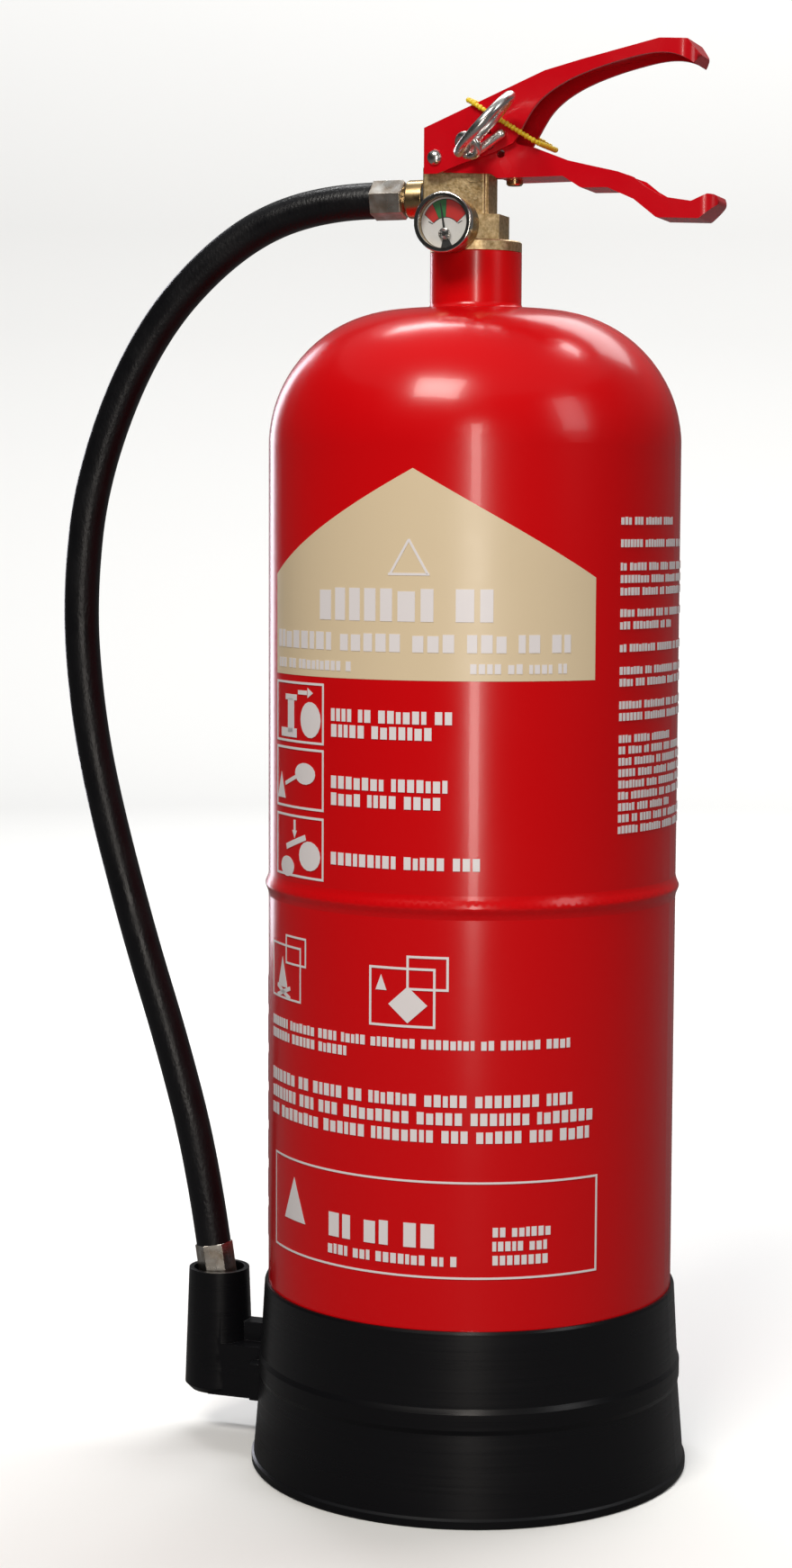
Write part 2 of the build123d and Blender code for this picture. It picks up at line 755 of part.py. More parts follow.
with BuildPart() as spring_plug:
    with Locations((0, 0, chamber_bottom)):
        Cylinder(chamber_radius - running_clearance, plug_length - 4.0,
                 align=(Align.CENTER, Align.CENTER, Align.MIN))
        Cylinder(chamber_radius + 3.0, 3.0,
                 align=(Align.CENTER, Align.CENTER, Align.MAX))
        Cylinder(dip_tube_radius - dip_tube_wall, plug_length + 3.0,
                 align=(Align.CENTER, Align.CENTER, Align.MAX))
        Cylinder(guide_radius + 1.0, 6 * plug_length, mode=Mode.SUBTRACT)
spring_plug.part.label = "spring_plug"
export_step(spring_plug.part, "parts/spring_plug.step")

spring_low = plug_top + spring_wire_radius
spring_rise = disc_bottom - plug_top - 2 * spring_wire_radius
with BuildPart() as stem_spring:
    with BuildLine(Plane.XY.offset(spring_low)) as coil:
        Helix(spring_rise / spring_turns, spring_rise, spring_mean_radius)
    with BuildSketch(Plane(origin=coil.line @ 0, z_dir=coil.line % 0)):
        Circle(spring_wire_radius)
    sweep(path=coil.line, is_frenet=True)
stem_spring.part.label = "stem_spring"
export_step(stem_spring.part, "parts/stem_spring.step")

# --------------------------------------------------------- dip tube and strainer
dip_tube_top = chamber_bottom - 3.0
dip_tube_low = shell_bottom + shell_wall + dip_tube_clearance
with BuildPart() as dip_tube:
    with Locations((0, 0, dip_tube_top)):
        Cylinder(dip_tube_radius, dip_tube_top - dip_tube_low - 3.0,
                 align=(Align.CENTER, Align.CENTER, Align.MAX))
        Cylinder(dip_tube_radius - dip_tube_wall, dip_tube_top - dip_tube_low + 1.0,
                 align=(Align.CENTER, Align.CENTER, Align.MAX), mode=Mode.SUBTRACT)
dip_tube.part.label = "dip_tube"
export_step(dip_tube.part, "parts/dip_tube.step")

with BuildPart() as dip_strainer:
    with Locations((0, 0, dip_tube_low)):
        Cylinder(dip_tube_radius + strainer_wall, strainer_height,
                 align=(Align.CENTER, Align.CENTER, Align.MIN))
    with Locations((0, 0, dip_tube_low + 3.0)):
        Cylinder(dip_tube_radius, strainer_height,
                 align=(Align.CENTER, Align.CENTER, Align.MIN), mode=Mode.SUBTRACT)
    with Locations((0, 0, dip_tube_low + 1.5)):
        Cylinder(dip_tube_radius - dip_tube_wall, 4.0,
                 align=(Align.CENTER, Align.CENTER, Align.MIN), mode=Mode.SUBTRACT)
    with Locations((0, 0, dip_tube_low)):
        with PolarLocations(dip_tube_radius - dip_tube_wall - 2.0, 6):
            Cylinder(0.8, 6.0, mode=Mode.SUBTRACT)
dip_strainer.part.label = "dip_strainer"
export_step(dip_strainer.part, "parts/dip_strainer.step")

# ------------------------------------------------------------- safety pin, ring
along = math.radians(ring_rise_angle)
turned = math.radians(ring_turn_angle)
linked = math.radians(ring_link_angle)
ring_long = Vector(math.cos(along), 0, math.sin(along))
ring_side = Vector(math.sin(along), 0, -math.cos(along))
ring_deep = Vector(0, 1, 0) * math.cos(turned) + ring_side * math.sin(turned)
ring_normal = ring_side * math.cos(turned) - Vector(0, 1, 0) * math.sin(turned)
ring_centre = Vector(pivot_x + ring_ahead, -ring_forward, pivot_z + ring_over)
link_point = ring_centre + (ring_deep * math.cos(linked) - ring_long * math.sin(linked)) * ring_radius
link_axis = ring_deep * math.sin(linked) + ring_long * math.cos(linked)
rim_side = (Vector(0, 1, 0) - link_axis * link_axis.Y).normalized()
eye_rim = link_point + rim_side * eye_radius
bar_y = -(lever_half + pin_stand_off + pin_bar_radius)
bar_run = Vector(math.cos(math.radians(pin_bar_angle)), 0, math.sin(math.radians(pin_bar_angle)))
bar_middle = Vector(pin_x, bar_y, pin_z)
bar_front = bar_middle + bar_run * pin_bar_front
bar_back = bar_middle - bar_run * pin_bar_back
pin_end = lever_half + 1.2

with BuildPart() as safety_pin:
    with BuildSketch(Plane.XZ.offset(-pin_end)) as shank_section:
        with Locations((pin_x, pin_z)):
            Circle(pin_radius)
    extrude(amount=pin_end - bar_y)
    chamfer(edges().filter_by(GeomType.CIRCLE).sort_by(Axis.Y)[-1], 0.5)
    with BuildLine() as bar_line:
        FilletPolyline(bar_front, bar_back, eye_rim, radius=2.0)
    with BuildSketch(Plane(origin=bar_front, z_dir=bar_run * -1)) as bar_section:
        Circle(pin_bar_radius)
    sweep(path=bar_line.line)
    with Locations(bar_front, eye_rim):
        Sphere(pin_bar_radius)
    with Locations(Plane(origin=link_point, z_dir=link_axis)):
        Torus(eye_radius, eye_wire_radius)
safety_pin.part.label = "safety_pin"
export_step(safety_pin.part, "parts/safety_pin.step")

with BuildPart() as pull_ring:
    with Locations(Plane(origin=ring_centre, z_dir=ring_normal)):
        Torus(ring_radius, ring_wire_radius)
pull_ring.part.label = "pull_ring"
export_step(pull_ring.part, "parts/pull_ring.step")

# ------------------------------------------------------------------ tamper seal
seal_y = lever_half + seal_stand_off
(top_x, top_z), (low_x, low_z) = from_pivot([seal_top, seal_low])
with BuildPart() as tamper_seal:
    with BuildLine() as seal_loop:
        FilletPolyline(
            (top_x, -seal_y, top_z),
            (top_x, seal_y, top_z),
            (low_x, seal_y, low_z),
            (low_x, -seal_y, low_z),
            radius=seal_corner,
            close=True,
        )
    with BuildSketch(Plane(origin=seal_loop.line @ 0, z_dir=seal_loop.line % 0)):
        Circle(seal_wire_radius)
    sweep(path=seal_loop.line)
tamper_seal.part.label = "tamper_seal"
export_step(tamper_seal.part, "parts/tamper_seal.step")

# --------------------------------------------------------------- pressure gauge
case_radius = gauge_radius - bezel_wall - 0.05
case_back = gauge_front - gauge_depth
case_front = gauge_front - bezel_lip - lens_thickness
gauge_plane = Plane(origin=(gauge_x, 0, gauge_z), x_dir=(1, 0, 0), z_dir=(0, -1, 0))
seal_gap = 2 * gauge_seal_radius
with BuildPart() as gauge_case:
    with BuildSketch(gauge_plane.offset(case_back)) as case_disc:
        Circle(case_radius)
    extrude(amount=case_front - case_back)
    with BuildSketch(gauge_plane.offset(gauge_boss_front + seal_gap)) as case_hex:
        RegularPolygon(gauge_hex_apothem, 6, major_radius=False)
    extrude(amount=case_back - gauge_boss_front - seal_gap)
    with BuildSketch(gauge_plane.offset(gauge_boss_front - 5.4)) as nipple:
        Circle(gauge_nipple_radius)
    extrude(amount=8.0)
    with BuildSketch(gauge_plane.offset(case_back + gauge_back)) as case_hollow:
        Circle(case_radius - gauge_wall)
    extrude(amount=gauge_depth, mode=Mode.SUBTRACT)
    with BuildSketch(gauge_plane.offset(gauge_boss_front - 6.0)) as case_bore:
        Circle(1.2)
    extrude(amount=gauge_depth, mode=Mode.SUBTRACT)
gauge_case.part.label = "gauge_case"
export_step(gauge_case.part, "parts/gauge_case.step")

with BuildPart() as gauge_bezel:
    with BuildSketch(gauge_plane.offset(gauge_front - bezel_depth)) as bezel_disc:
        Circle(gauge_radius)
        Circle(case_radius + 0.05, mode=Mode.SUBTRACT)
    extrude(amount=bezel_depth)
    with BuildSketch(gauge_plane.offset(gauge_front - bezel_lip)) as bezel_lip_ring:
        Circle(gauge_radius - 0.1)
        Circle(bezel_opening, mode=Mode.SUBTRACT)
    extrude(amount=bezel_lip)
    fillet(edges().filter_by(GeomType.CIRCLE).group_by(Axis.Y)[0].sort_by(SortBy.RADIUS)[-1], 0.6)
gauge_bezel.part.label = "gauge_bezel"
export_step(gauge_bezel.part, "parts/gauge_bezel.step")

with BuildPart() as gauge_lens:
    with BuildSketch(gauge_plane.offset(case_front)) as lens_disc:
        Circle(case_radius)
    extrude(amount=lens_thickness)
gauge_lens.part.label = "gauge_lens"
export_step(gauge_lens.part, "parts/gauge_lens.step")

dial_face = case_front - 2.4
needle_back = dial_face + 0.4
with BuildPart() as gauge_dial:
    with BuildSketch(gauge_plane.offset(dial_face - dial_thickness)) as dial_disc:
        Circle(dial_radius)
        with Locations((0, -needle_drop)):
            Circle(0.5, mode=Mode.SUBTRACT)
    extrude(amount=dial_thickness)
gauge_dial.part.label = "gauge_dial"
export_step(gauge_dial.part, "parts/gauge_dial.step")

needle_plane = Plane(
    origin=(gauge_x, 0, gauge_z - needle_drop),
    x_dir=(math.cos(math.radians(needle_angle)), 0, math.sin(math.radians(needle_angle))),
    z_dir=(0, -1, 0),
)
with BuildPart() as gauge_needle:
    with BuildSketch(needle_plane.offset(needle_back)) as pointer:
        with BuildLine():
            Polyline(
                (-0.5, 0),
                (-0.15, needle_length),
                (0.15, needle_length),
                (0.5, 0),
                (1.1, -2.0),
                (2.3, -needle_tail),
                (-2.3, -needle_tail),
                (-1.1, -2.0),
                close=True,
            )
        make_face()
        Circle(1.5)
        Circle(needle_hole, mode=Mode.SUBTRACT)
    extrude(amount=needle_thickness)
gauge_needle.part.label = "gauge_needle"
export_step(gauge_needle.part, "parts/gauge_needle.step")

with BuildPart() as gauge_hub:
    with BuildSketch(needle_plane.offset(dial_face - dial_thickness - 1.0)) as hub_pin:
        Circle(needle_hole - 0.1)
    extrude(amount=dial_thickness + 1.0 + 0.4 + needle_thickness + 0.2)
    with BuildSketch(needle_plane.offset(needle_back + needle_thickness + 0.1)) as hub_cap:
        Circle(hub_radius)
    extrude(amount=0.9)
    fillet(edges().filter_by(GeomType.CIRCLE).group_by(Axis.Y)[0], 0.4)
gauge_hub.part.label = "gauge_hub"
export_step(gauge_hub.part, "parts/gauge_hub.step")

with BuildPart() as gauge_tube:
    tube_plane = gauge_plane.offset(case_back + gauge_back + 3.0)
    with BuildLine(tube_plane) as tube_line:
        CenterArc((0, 0), coil_radius, -60, 270)
    with BuildSketch(Plane(origin=tube_line.line @ 0, z_dir=tube_line.line % 0)):
        Circle(coil_wire_radius)
    sweep(path=tube_line.line)
    foot = tube_line.line @ 0
    with Locations(foot):
        Box(2.6, 2 * (3.0), 2.6)
gauge_tube.part.label = "gauge_tube"
export_step(gauge_tube.part, "parts/gauge_tube.step")

with BuildPart() as gauge_seal:
    with Locations(gauge_plane.offset(gauge_boss_front + gauge_seal_radius)):
        Torus(gauge_nipple_radius + gauge_seal_radius, gauge_seal_radius)
gauge_seal.part.label = "gauge_seal"
export_step(gauge_seal.part, "parts/gauge_seal.step")

# --------------------------------------------------------- outlet and hose ends
washer_thickness = 1.2
barb_radius = 5.0
outlet_bore = 3.0
outlet_face = Plane(origin=(-block_back, 0, port_z), x_dir=(0, 1, 0), z_dir=(-1, 0, 0))
hose_start = -hose_route[0][0] - block_back
with BuildPart() as outlet_washer:
    with BuildSketch(outlet_face) as washer_ring:
        Circle(collar_radius - 0.6)
        Circle(6.0, mode=Mode.SUBTRACT)
    extrude(amount=washer_thickness)
outlet_washer.part.label = "outlet_washer"
export_step(outlet_washer.part, "parts/outlet_washer.step")

with BuildPart() as hose_adaptor:
    with BuildSketch(outlet_face.offset(-7.6)) as outlet_spigot:
        Circle(5.95)
    extrude(amount=7.6 + washer_thickness)
    with BuildSketch(outlet_face.offset(washer_thickness)) as collar_disc:
        Circle(collar_radius)
    extrude(amount=collar_length)
    chamfer(edges().filter_by(GeomType.CIRCLE).sort_by(Axis.X)[0], 0.8)
    with BuildSketch(outlet_face.offset(washer_thickness)) as barb_disc:
        Circle(barb_radius)
    extrude(amount=hose_start - washer_thickness)
    with BuildSketch(outlet_face.offset(-10.0)) as adaptor_bore:
        Circle(outlet_bore)
    extrude(amount=60.0, mode=Mode.SUBTRACT)
hose_adaptor.part.label = "hose_adaptor"
export_step(hose_adaptor.part, "parts/hose_adaptor.step")

hex_apothem = ferrule_across_corners / 2 * math.cos(math.radians(30))
with BuildPart() as hose_ferrule_valve:
    with BuildSketch(outlet_face.offset(hose_start - ferrule_length)) as valve_hex:
        RegularPolygon(ferrule_across_corners / 2, 6, rotation=15)
        Circle(barb_radius + ferrule_clearance, mode=Mode.SUBTRACT)
    extrude(amount=ferrule_length)
    chamfer(faces().sort_by(Axis.X)[-1].outer_wire().edges(), 0.7)
hose_ferrule_valve.part.label = "hose_ferrule_valve"
export_step(hose_ferrule_valve.part, "parts/hose_ferrule_valve.step")

route_points = [Vector(x, 0, z) for x, z in fitted_route(hose_route)]
runs = [(b - a).length for a, b in zip(route_points, route_points[1:])]
radii = []
for before, corner, after in zip(route_points, route_points[1:], route_points[2:]):
    half_turn = math.radians((corner - before).get_angle(after - corner)) / 2
    shorter = min((corner - before).length, (after - corner).length)
    radii.append(0.45 * shorter / math.tan(half_turn))
with BuildPart() as hose:
    with BuildLine() as hose_line:
        FilletPolyline(*route_points, radius=radii)
    hose_direction = (route_points[1] - route_points[0]).normalized()
    with BuildSketch(Plane(origin=route_points[0], z_dir=hose_direction)) as hose_section:
        Circle(hose_radius)
    sweep(path=hose_line.line)
hose.part.label = "hose"
export_step(hose.part, "parts/hose.step")
hose_length = sum(edge.length for edge in hose_line.edges())
print("hose radii", [round(radius, 1) for radius in radii])
print("hose runs", [round(run, 1) for run in runs])
print("hose length", round(hose_length, 1))
print("hose volume", round(hose.part.volume, 1),
      "section x length", round(math.pi * hose_radius ** 2 * hose_length, 1))

nozzle_run = (route_points[-1] - route_points[-2]).normalized()
nozzle_plane = Plane(origin=route_points[-1], x_dir=(0, 1, 0), z_dir=nozzle_run)
with BuildPart() as hose_ferrule_nozzle:
    with BuildSketch(nozzle_plane) as nozzle_hex:
        RegularPolygon(ferrule_across_corners / 2, 6, rotation=12)
        Circle(barb_radius + ferrule_clearance, mode=Mode.SUBTRACT)
    extrude(amount=ferrule_length)
hose_ferrule_nozzle.part.label = "hose_ferrule_nozzle"
export_step(hose_ferrule_nozzle.part, "parts/hose_ferrule_nozzle.step")

with BuildPart() as spray_nozzle:
    with BuildSketch(nozzle_plane) as nozzle_barb:
        Circle(barb_radius)
    extrude(amount=ferrule_length)
    with BuildSketch(nozzle_plane.offset(ferrule_length + 0.5)) as nozzle_root:
        Circle(nozzle_radius)
    with BuildSketch(nozzle_plane.offset(ferrule_length + nozzle_length)) as nozzle_tip:
        Circle(nozzle_radius - 1.4)
    loft()
    with BuildSketch(nozzle_plane.offset(ferrule_length - 1.0)) as nozzle_neck:
        Circle(barb_radius)
    extrude(amount=3.0)
    with BuildSketch(nozzle_plane) as nozzle_way:
        Circle(outlet_bore)
    extrude(amount=ferrule_length + nozzle_length - 8.0, mode=Mode.SUBTRACT)
    with BuildSketch(nozzle_plane.offset(ferrule_length + nozzle_length - 9.0)) as nozzle_hole:
        Circle(nozzle_bore)
    extrude(amount=10.0, mode=Mode.SUBTRACT)
spray_nozzle.part.label = "spray_nozzle"
export_step(spray_nozzle.part, "parts/spray_nozzle.step")
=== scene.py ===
"""Looks of the fire extinguisher: materials, prints and finished pieces over the CAD frame."""

import json
import math
import random

import bmesh
import bpy
from mathutils import Matrix, Vector


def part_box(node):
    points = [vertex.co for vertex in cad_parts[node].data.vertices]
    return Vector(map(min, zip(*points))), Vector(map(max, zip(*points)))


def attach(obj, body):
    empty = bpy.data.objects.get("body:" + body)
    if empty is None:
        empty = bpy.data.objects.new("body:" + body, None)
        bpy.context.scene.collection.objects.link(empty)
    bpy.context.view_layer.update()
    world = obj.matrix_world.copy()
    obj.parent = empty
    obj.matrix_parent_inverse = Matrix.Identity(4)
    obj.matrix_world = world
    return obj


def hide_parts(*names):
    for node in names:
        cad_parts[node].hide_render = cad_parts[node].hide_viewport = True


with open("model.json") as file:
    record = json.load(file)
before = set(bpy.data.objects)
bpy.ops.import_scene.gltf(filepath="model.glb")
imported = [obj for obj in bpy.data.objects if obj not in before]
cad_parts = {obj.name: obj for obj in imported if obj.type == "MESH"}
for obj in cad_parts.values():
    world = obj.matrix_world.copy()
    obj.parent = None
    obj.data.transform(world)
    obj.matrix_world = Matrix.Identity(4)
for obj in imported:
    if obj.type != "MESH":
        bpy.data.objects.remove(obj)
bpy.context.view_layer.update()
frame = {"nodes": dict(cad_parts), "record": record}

MM = 0.001
SHELL_RADIUS = 80 * MM
QUARTER_TURN = Matrix.Rotation(math.radians(90), 3, "X")
BODY_OF = {
    node: body
    for body, nodes in frame["record"]["behaviour"]["bodies"].items()
    for node in nodes
}


# ------------------------------------------------------------------- the camera
def aim_camera():
    """The camera stands ahead and to the gauge's right, a little above mid height."""
    turn = math.radians(18.0)
    yaw = math.radians(-1.508)
    pitch = math.radians(-5.363)
    roll = math.radians(0.2546)
    ahead = Vector((-math.sin(turn), math.cos(turn), 0))
    across = Vector((math.cos(turn), math.sin(turn), 0))
    forward = (
        across * (math.sin(yaw) * math.cos(pitch))
        + ahead * (math.cos(yaw) * math.cos(pitch))
        + Vector((0, 0, math.sin(pitch)))
    )
    level = forward.cross(Vector((0, 0, 1))).normalized()
    upright = level.cross(forward)
    right = level * math.cos(roll) + upright * math.sin(roll)
    up = upright * math.cos(roll) - level * math.sin(roll)
    data = bpy.data.cameras.new("camera")
    data.lens = 66.96
    data.sensor_width = 36.0
    data.clip_start = 0.05
    camera = bpy.data.objects.new("camera", data)
    bpy.context.scene.collection.objects.link(camera)
    placed = Matrix((right, up, -forward)).transposed().to_4x4()
    placed.translation = Vector((0, 0, 0.377995)) - ahead * 1.14158
    camera.matrix_world = placed
    bpy.context.scene.camera = camera
    bpy.context.scene.view_settings.view_transform = "Standard"


# -------------------------------------------------------------------- materials
def new_material(name, colour, roughness, metallic=0.0, coat=0.0, coat_roughness=0.1, level=0.5):
    """A plain Principled material, and its node tree and shader."""
    material = bpy.data.materials.new(name)
    material.use_nodes = True
    shader = material.node_tree.nodes["Principled BSDF"]
    shader.inputs["Base Color"].default_value = (*colour, 1.0)
    shader.inputs["Roughness"].default_value = roughness
    shader.inputs["Metallic"].default_value = metallic
    shader.inputs["Coat Weight"].default_value = coat
    shader.inputs["Coat Roughness"].default_value = coat_roughness
    shader.inputs["Specular IOR Level"].default_value = level
    return material


def grain(material, scale, stretch=(1, 1, 1), detail=3.0):
    """A noise pattern on the piece's own coordinates."""
    nodes = material.node_tree.nodes
    links = material.node_tree.links
    place = nodes.new("ShaderNodeTexCoord")
    mapping = nodes.new("ShaderNodeMapping")
    mapping.inputs["Scale"].default_value = stretch
    noise = nodes.new("ShaderNodeTexNoise")
    noise.inputs["Scale"].default_value = scale
    noise.inputs["Detail"].default_value = detail
    links.new(place.outputs["Object"], mapping.inputs["Vector"])
    links.new(mapping.outputs["Vector"], noise.inputs["Vector"])
    return noise.outputs["Fac"]


def add_bump(material, height, strength, distance):
    """Raises the surface by a pattern."""
    bump = material.node_tree.nodes.new("ShaderNodeBump")
    bump.inputs["Strength"].default_value = strength
    bump.inputs["Distance"].default_value = distance
    links = material.node_tree.links
    links.new(height, bump.inputs["Height"])
    shader = material.node_tree.nodes["Principled BSDF"]
    links.new(bump.outputs["Normal"], shader.inputs["Normal"])
    return bump


def vary(material, pattern, socket, low, high, start=0.3, end=0.7):
    """A number or colour of the shader that follows a pattern between two values."""
    nodes = material.node_tree.nodes
    links = material.node_tree.links
    ramp = nodes.new("ShaderNodeValToRGB")
    ramp.color_ramp.elements[0].position = start
    ramp.color_ramp.elements[1].position = end
    if isinstance(low, tuple):
        ramp.color_ramp.elements[0].color = (*low, 1.0)
        ramp.color_ramp.elements[1].color = (*high, 1.0)
    else:
        ramp.color_ramp.elements[0].color = (low, low, low, 1.0)
        ramp.color_ramp.elements[1].color = (high, high, high, 1.0)
    links.new(pattern, ramp.inputs["Fac"])
    links.new(ramp.outputs["Color"], nodes["Principled BSDF"].inputs[socket])


def red_paint():
    material = new_material(
        "red_paint", (0.62, 0.002, 0.004), 0.26, coat=0.12, coat_roughness=0.05, level=0.32
    )
    vary(material, grain(material, 9.0), "Roughness", 0.19, 0.27)
    add_bump(material, grain(material, 160.0), 0.05, 0.0004)
    return material


def handle_paint():
    material = new_material(
        "handle_paint", (0.56, 0.002, 0.008), 0.24, coat=0.15, coat_roughness=0.06, level=0.36
    )
    vary(material, grain(material, 40.0), "Roughness", 0.16, 0.30)
    add_bump(material, grain(material, 420.0), 0.10, 0.0003)
    return material


def black_plastic():
    material = new_material("black_plastic", (0.004, 0.004, 0.005), 0.30, level=0.30)
    vary(material, grain(material, 14.0, (1, 1, 60)), "Roughness", 0.26, 0.34)
    add_bump(material, grain(material, 500.0), 0.04, 0.0002)
    return material


def cast_brass():
    material = new_material("cast_brass", (0.62, 0.50, 0.33), 0.42, metallic=0.9)
    vary(material, grain(material, 700.0), "Base Color", (0.44, 0.30, 0.13), (0.80, 0.62, 0.36))
    vary(material, grain(material, 120.0), "Roughness", 0.34, 0.52)
    add_bump(material, grain(material, 1500.0, detail=4.0), 0.35, 0.0003)
    return material


def turned_brass():
    material = new_material("turned_brass", (0.48, 0.34, 0.17), 0.30, metallic=1.0)
    vary(material, grain(material, 200.0), "Roughness", 0.20, 0.34)
    return material


def plated_steel():
    material = new_material("plated_steel", (0.74, 0.73, 0.70), 0.24, metallic=1.0)
    vary(material, grain(material, 180.0), "Roughness", 0.18, 0.36)
    add_bump(material, grain(material, 260.0), 0.12, 0.0004)
    return material


def brown_steel():
    material = new_material("brown_steel", (0.52, 0.49, 0.45), 0.30, metallic=1.0)
    pattern = grain(material, 260.0)
    vary(material, pattern, "Base Color", (0.40, 0.33, 0.26), (0.66, 0.64, 0.60))
    vary(material, grain(material, 120.0), "Roughness", 0.24, 0.40)
    return material


def nickel():
    material = new_material("nickel", (0.72, 0.70, 0.66), 0.14, metallic=1.0)
    vary(material, grain(material, 90.0), "Roughness", 0.10, 0.20)
    return material


def seal_rubber():
    material = new_material("seal_rubber", (0.012, 0.012, 0.012), 0.55)
    vary(material, grain(material, 200.0), "Roughness", 0.48, 0.62)
    return material


def hose_rubber():
    material = new_material("hose_rubber", (0.004, 0.004, 0.005), 0.34, level=0.32)
    vary(material, grain(material, 60.0), "Roughness", 0.28, 0.46)
    add_bump(material, grain(material, 900.0, (1, 1, 0.6), 5.0), 0.45, 0.0004)
    return material


def tube_plastic():
    material = new_material("tube_plastic", (0.74, 0.74, 0.71), 0.45)
    vary(material, grain(material, 60.0), "Roughness", 0.40, 0.50)
    return material


def seal_plastic():
    material = new_material("seal_plastic", (0.82, 0.60, 0.02), 0.34)
    vary(material, grain(material, 300.0), "Base Color", (0.70, 0.46, 0.01), (0.88, 0.68, 0.04))
    return material


def clear_lens():
    material = new_material("clear_lens", (0.12, 0.13, 0.13), 0.05)
    material.node_tree.nodes["Principled BSDF"].inputs["Alpha"].default_value = 0.08
    return material


def flat_ink(name, colour, roughness=0.38):
    """A printed colour."""
    material = new_material(name, colour, roughness)
    vary(material, grain(material, 50.0), "Roughness", roughness - 0.05, roughness + 0.05)
    return material


FINISH = {
    "red_paint": red_paint(),
    "handle_paint": handle_paint(),
    "skirt_plastic": black_plastic(),
    "cast_brass": cast_brass(),
    "turned_brass": turned_brass(),
    "plated_steel": plated_steel(),
    "spring_steel": plated_steel(),
    "brown_steel": brown_steel(),
    "nickel": nickel(),
    "seal_rubber": seal_rubber(),
    "hose_rubber": hose_rubber(),
    "tube_plastic": tube_plastic(),
    "seal_plastic": seal_plastic(),
    "clear_lens": clear_lens(),
    "dial_paint": flat_ink("dial_paint", (0.80, 0.80, 0.78)),
    "needle_paint": flat_ink("needle_paint", (0.02, 0.02, 0.02)),
}
CREAM = flat_ink("cream_ink", (0.74, 0.60, 0.40), 0.34)
WHITE = flat_ink("white_ink", (0.80, 0.76, 0.77), 0.36)
RED_INK = flat_ink("red_ink", (0.62, 0.02, 0.015))
GREEN_INK = flat_ink("green_ink", (0.02, 0.20, 0.05))
SLOT_OF = {row["node"]: row["material_slot"] for row in frame["record"]["subparts"]}


def dress(obj, material):
    """Gives a piece one material."""
    obj.data.materials.clear()
    obj.data.materials.append(material)
    return obj


for node_name, node_obj in frame["nodes"].items():
    finish = FINISH[SLOT_OF[node_name]]
    for index in range(max(1, len(node_obj.data.materials))):
        if node_obj.data.materials:
            node_obj.data.materials[index] = finish
        else:
            node_obj.data.materials.append(finish)


# --------------------------------------------------------------- piece helpers
def piece_from(bm, name, body, material, smooth_angle=35.0, flat_faces=False):
    """Turns a bmesh into a named piece that rides a body."""
    bmesh.ops.recalc_face_normals(bm, faces=bm.faces)
    mesh = bpy.data.meshes.new(name)
    bm.to_mesh(mesh)
    bm.free()
    mesh.shade_smooth()
    mesh.set_sharp_from_angle(angle=math.radians(smooth_angle))
    obj = bpy.data.objects.new(name, mesh)
    bpy.context.scene.collection.objects.link(obj)
    if flat_faces:
        even = obj.modifiers.new("even_shading", "WEIGHTED_NORMAL")
        even.keep_sharp = True
        even.weight = 100
    dress(obj, material)
    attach(obj, body)
    return obj


def merged_copy(node):
    """A node's mesh with its doubles merged and its flat faces whole."""
    bm = bmesh.new()
    bm.from_mesh(frame["nodes"][node].data)
    bmesh.ops.remove_doubles(bm, verts=bm.verts, dist=2e-6)
    bmesh.ops.dissolve_limit(
        bm,
        angle_limit=math.radians(0.4),
        use_dissolve_boundaries=False,
        verts=bm.verts,
        edges=bm.edges,
    )
    return bm


def round_edges(bm, chosen, width, segments):
    """Bevels the chosen edges."""
    bmesh.ops.bevel(
        bm,
        geom=chosen,
        offset=width,
        offset_type="OFFSET",
        segments=segments,
        profile=0.5,
        affect="EDGES",
        clamp_overlap=True,
        material=-1,
    )


def sharp_edges(bm, angle=30.0):
    """Edges whose two faces meet at more than an angle in degrees."""
    limit = math.radians(angle)
    return [e for e in bm.edges if e.is_manifold and e.calc_face_angle(0.0) > limit]


def finished_node(node, width, segments=2, material=None, angle=30.0):
    """A copy of a node with softened edges, in its place."""
    bm = merged_copy(node)
    round_edges(bm, sharp_edges(bm, angle), width, segments)
    obj = piece_from(
        bm,
        node + "_finished",
        BODY_OF[node],
        material or FINISH[SLOT_OF[node]],
        flat_faces=True,
    )
    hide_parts(node)
    return obj


# ------------------------------------------------------------------------- hose
HOSE_RADIUS = 7.1 * MM
HOSE_ROUTE = [
    (-41.7, 498.2),
    (-67.5, 498.2),
    (-103.5, 483.3),
    (-139.3, 448.0),
    (-163.9, 392.2),
    (-170.0, 341.0),
    (-167.1, 299.6),
    (-160.1, 261.8),
    (-143.5, 203.0),
    (-129.0, 159.6),
    (-115.8, 111.9),
    (-110.6, 77.6),
]


def make_hose():
    """The discharge hose, from the ferrule at the valve to the one at the nozzle."""
    curve = bpy.data.curves.new("hose_line", "CURVE")
    curve.dimensions = "3D"
    curve.bevel_depth = HOSE_RADIUS
    curve.bevel_resolution = 10
    curve.resolution_u = 14
    curve.use_fill_caps = True
    spline = curve.splines.new("NURBS")
    spline.points.add(len(HOSE_ROUTE) - 1)
    for point, (x, z) in zip(spline.points, HOSE_ROUTE):
        point.co = (x * MM, 0.0, z * MM, 1.0)
    spline.order_u = 3
    spline.use_endpoint_u = True
    spline.use_smooth = True
    hose = bpy.data.objects.new("rubber_hose", curve)
    bpy.context.scene.collection.objects.link(hose)
    dress(hose, FINISH["hose_rubber"])
    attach(hose, BODY_OF["hose"])
    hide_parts("hose")
    return hose


# ----------------------------------------------------------------- the two grips
def edge_middle(edge):
    """The point halfway along an edge."""
    return (edge.verts[0].co + edge.verts[1].co) / 2


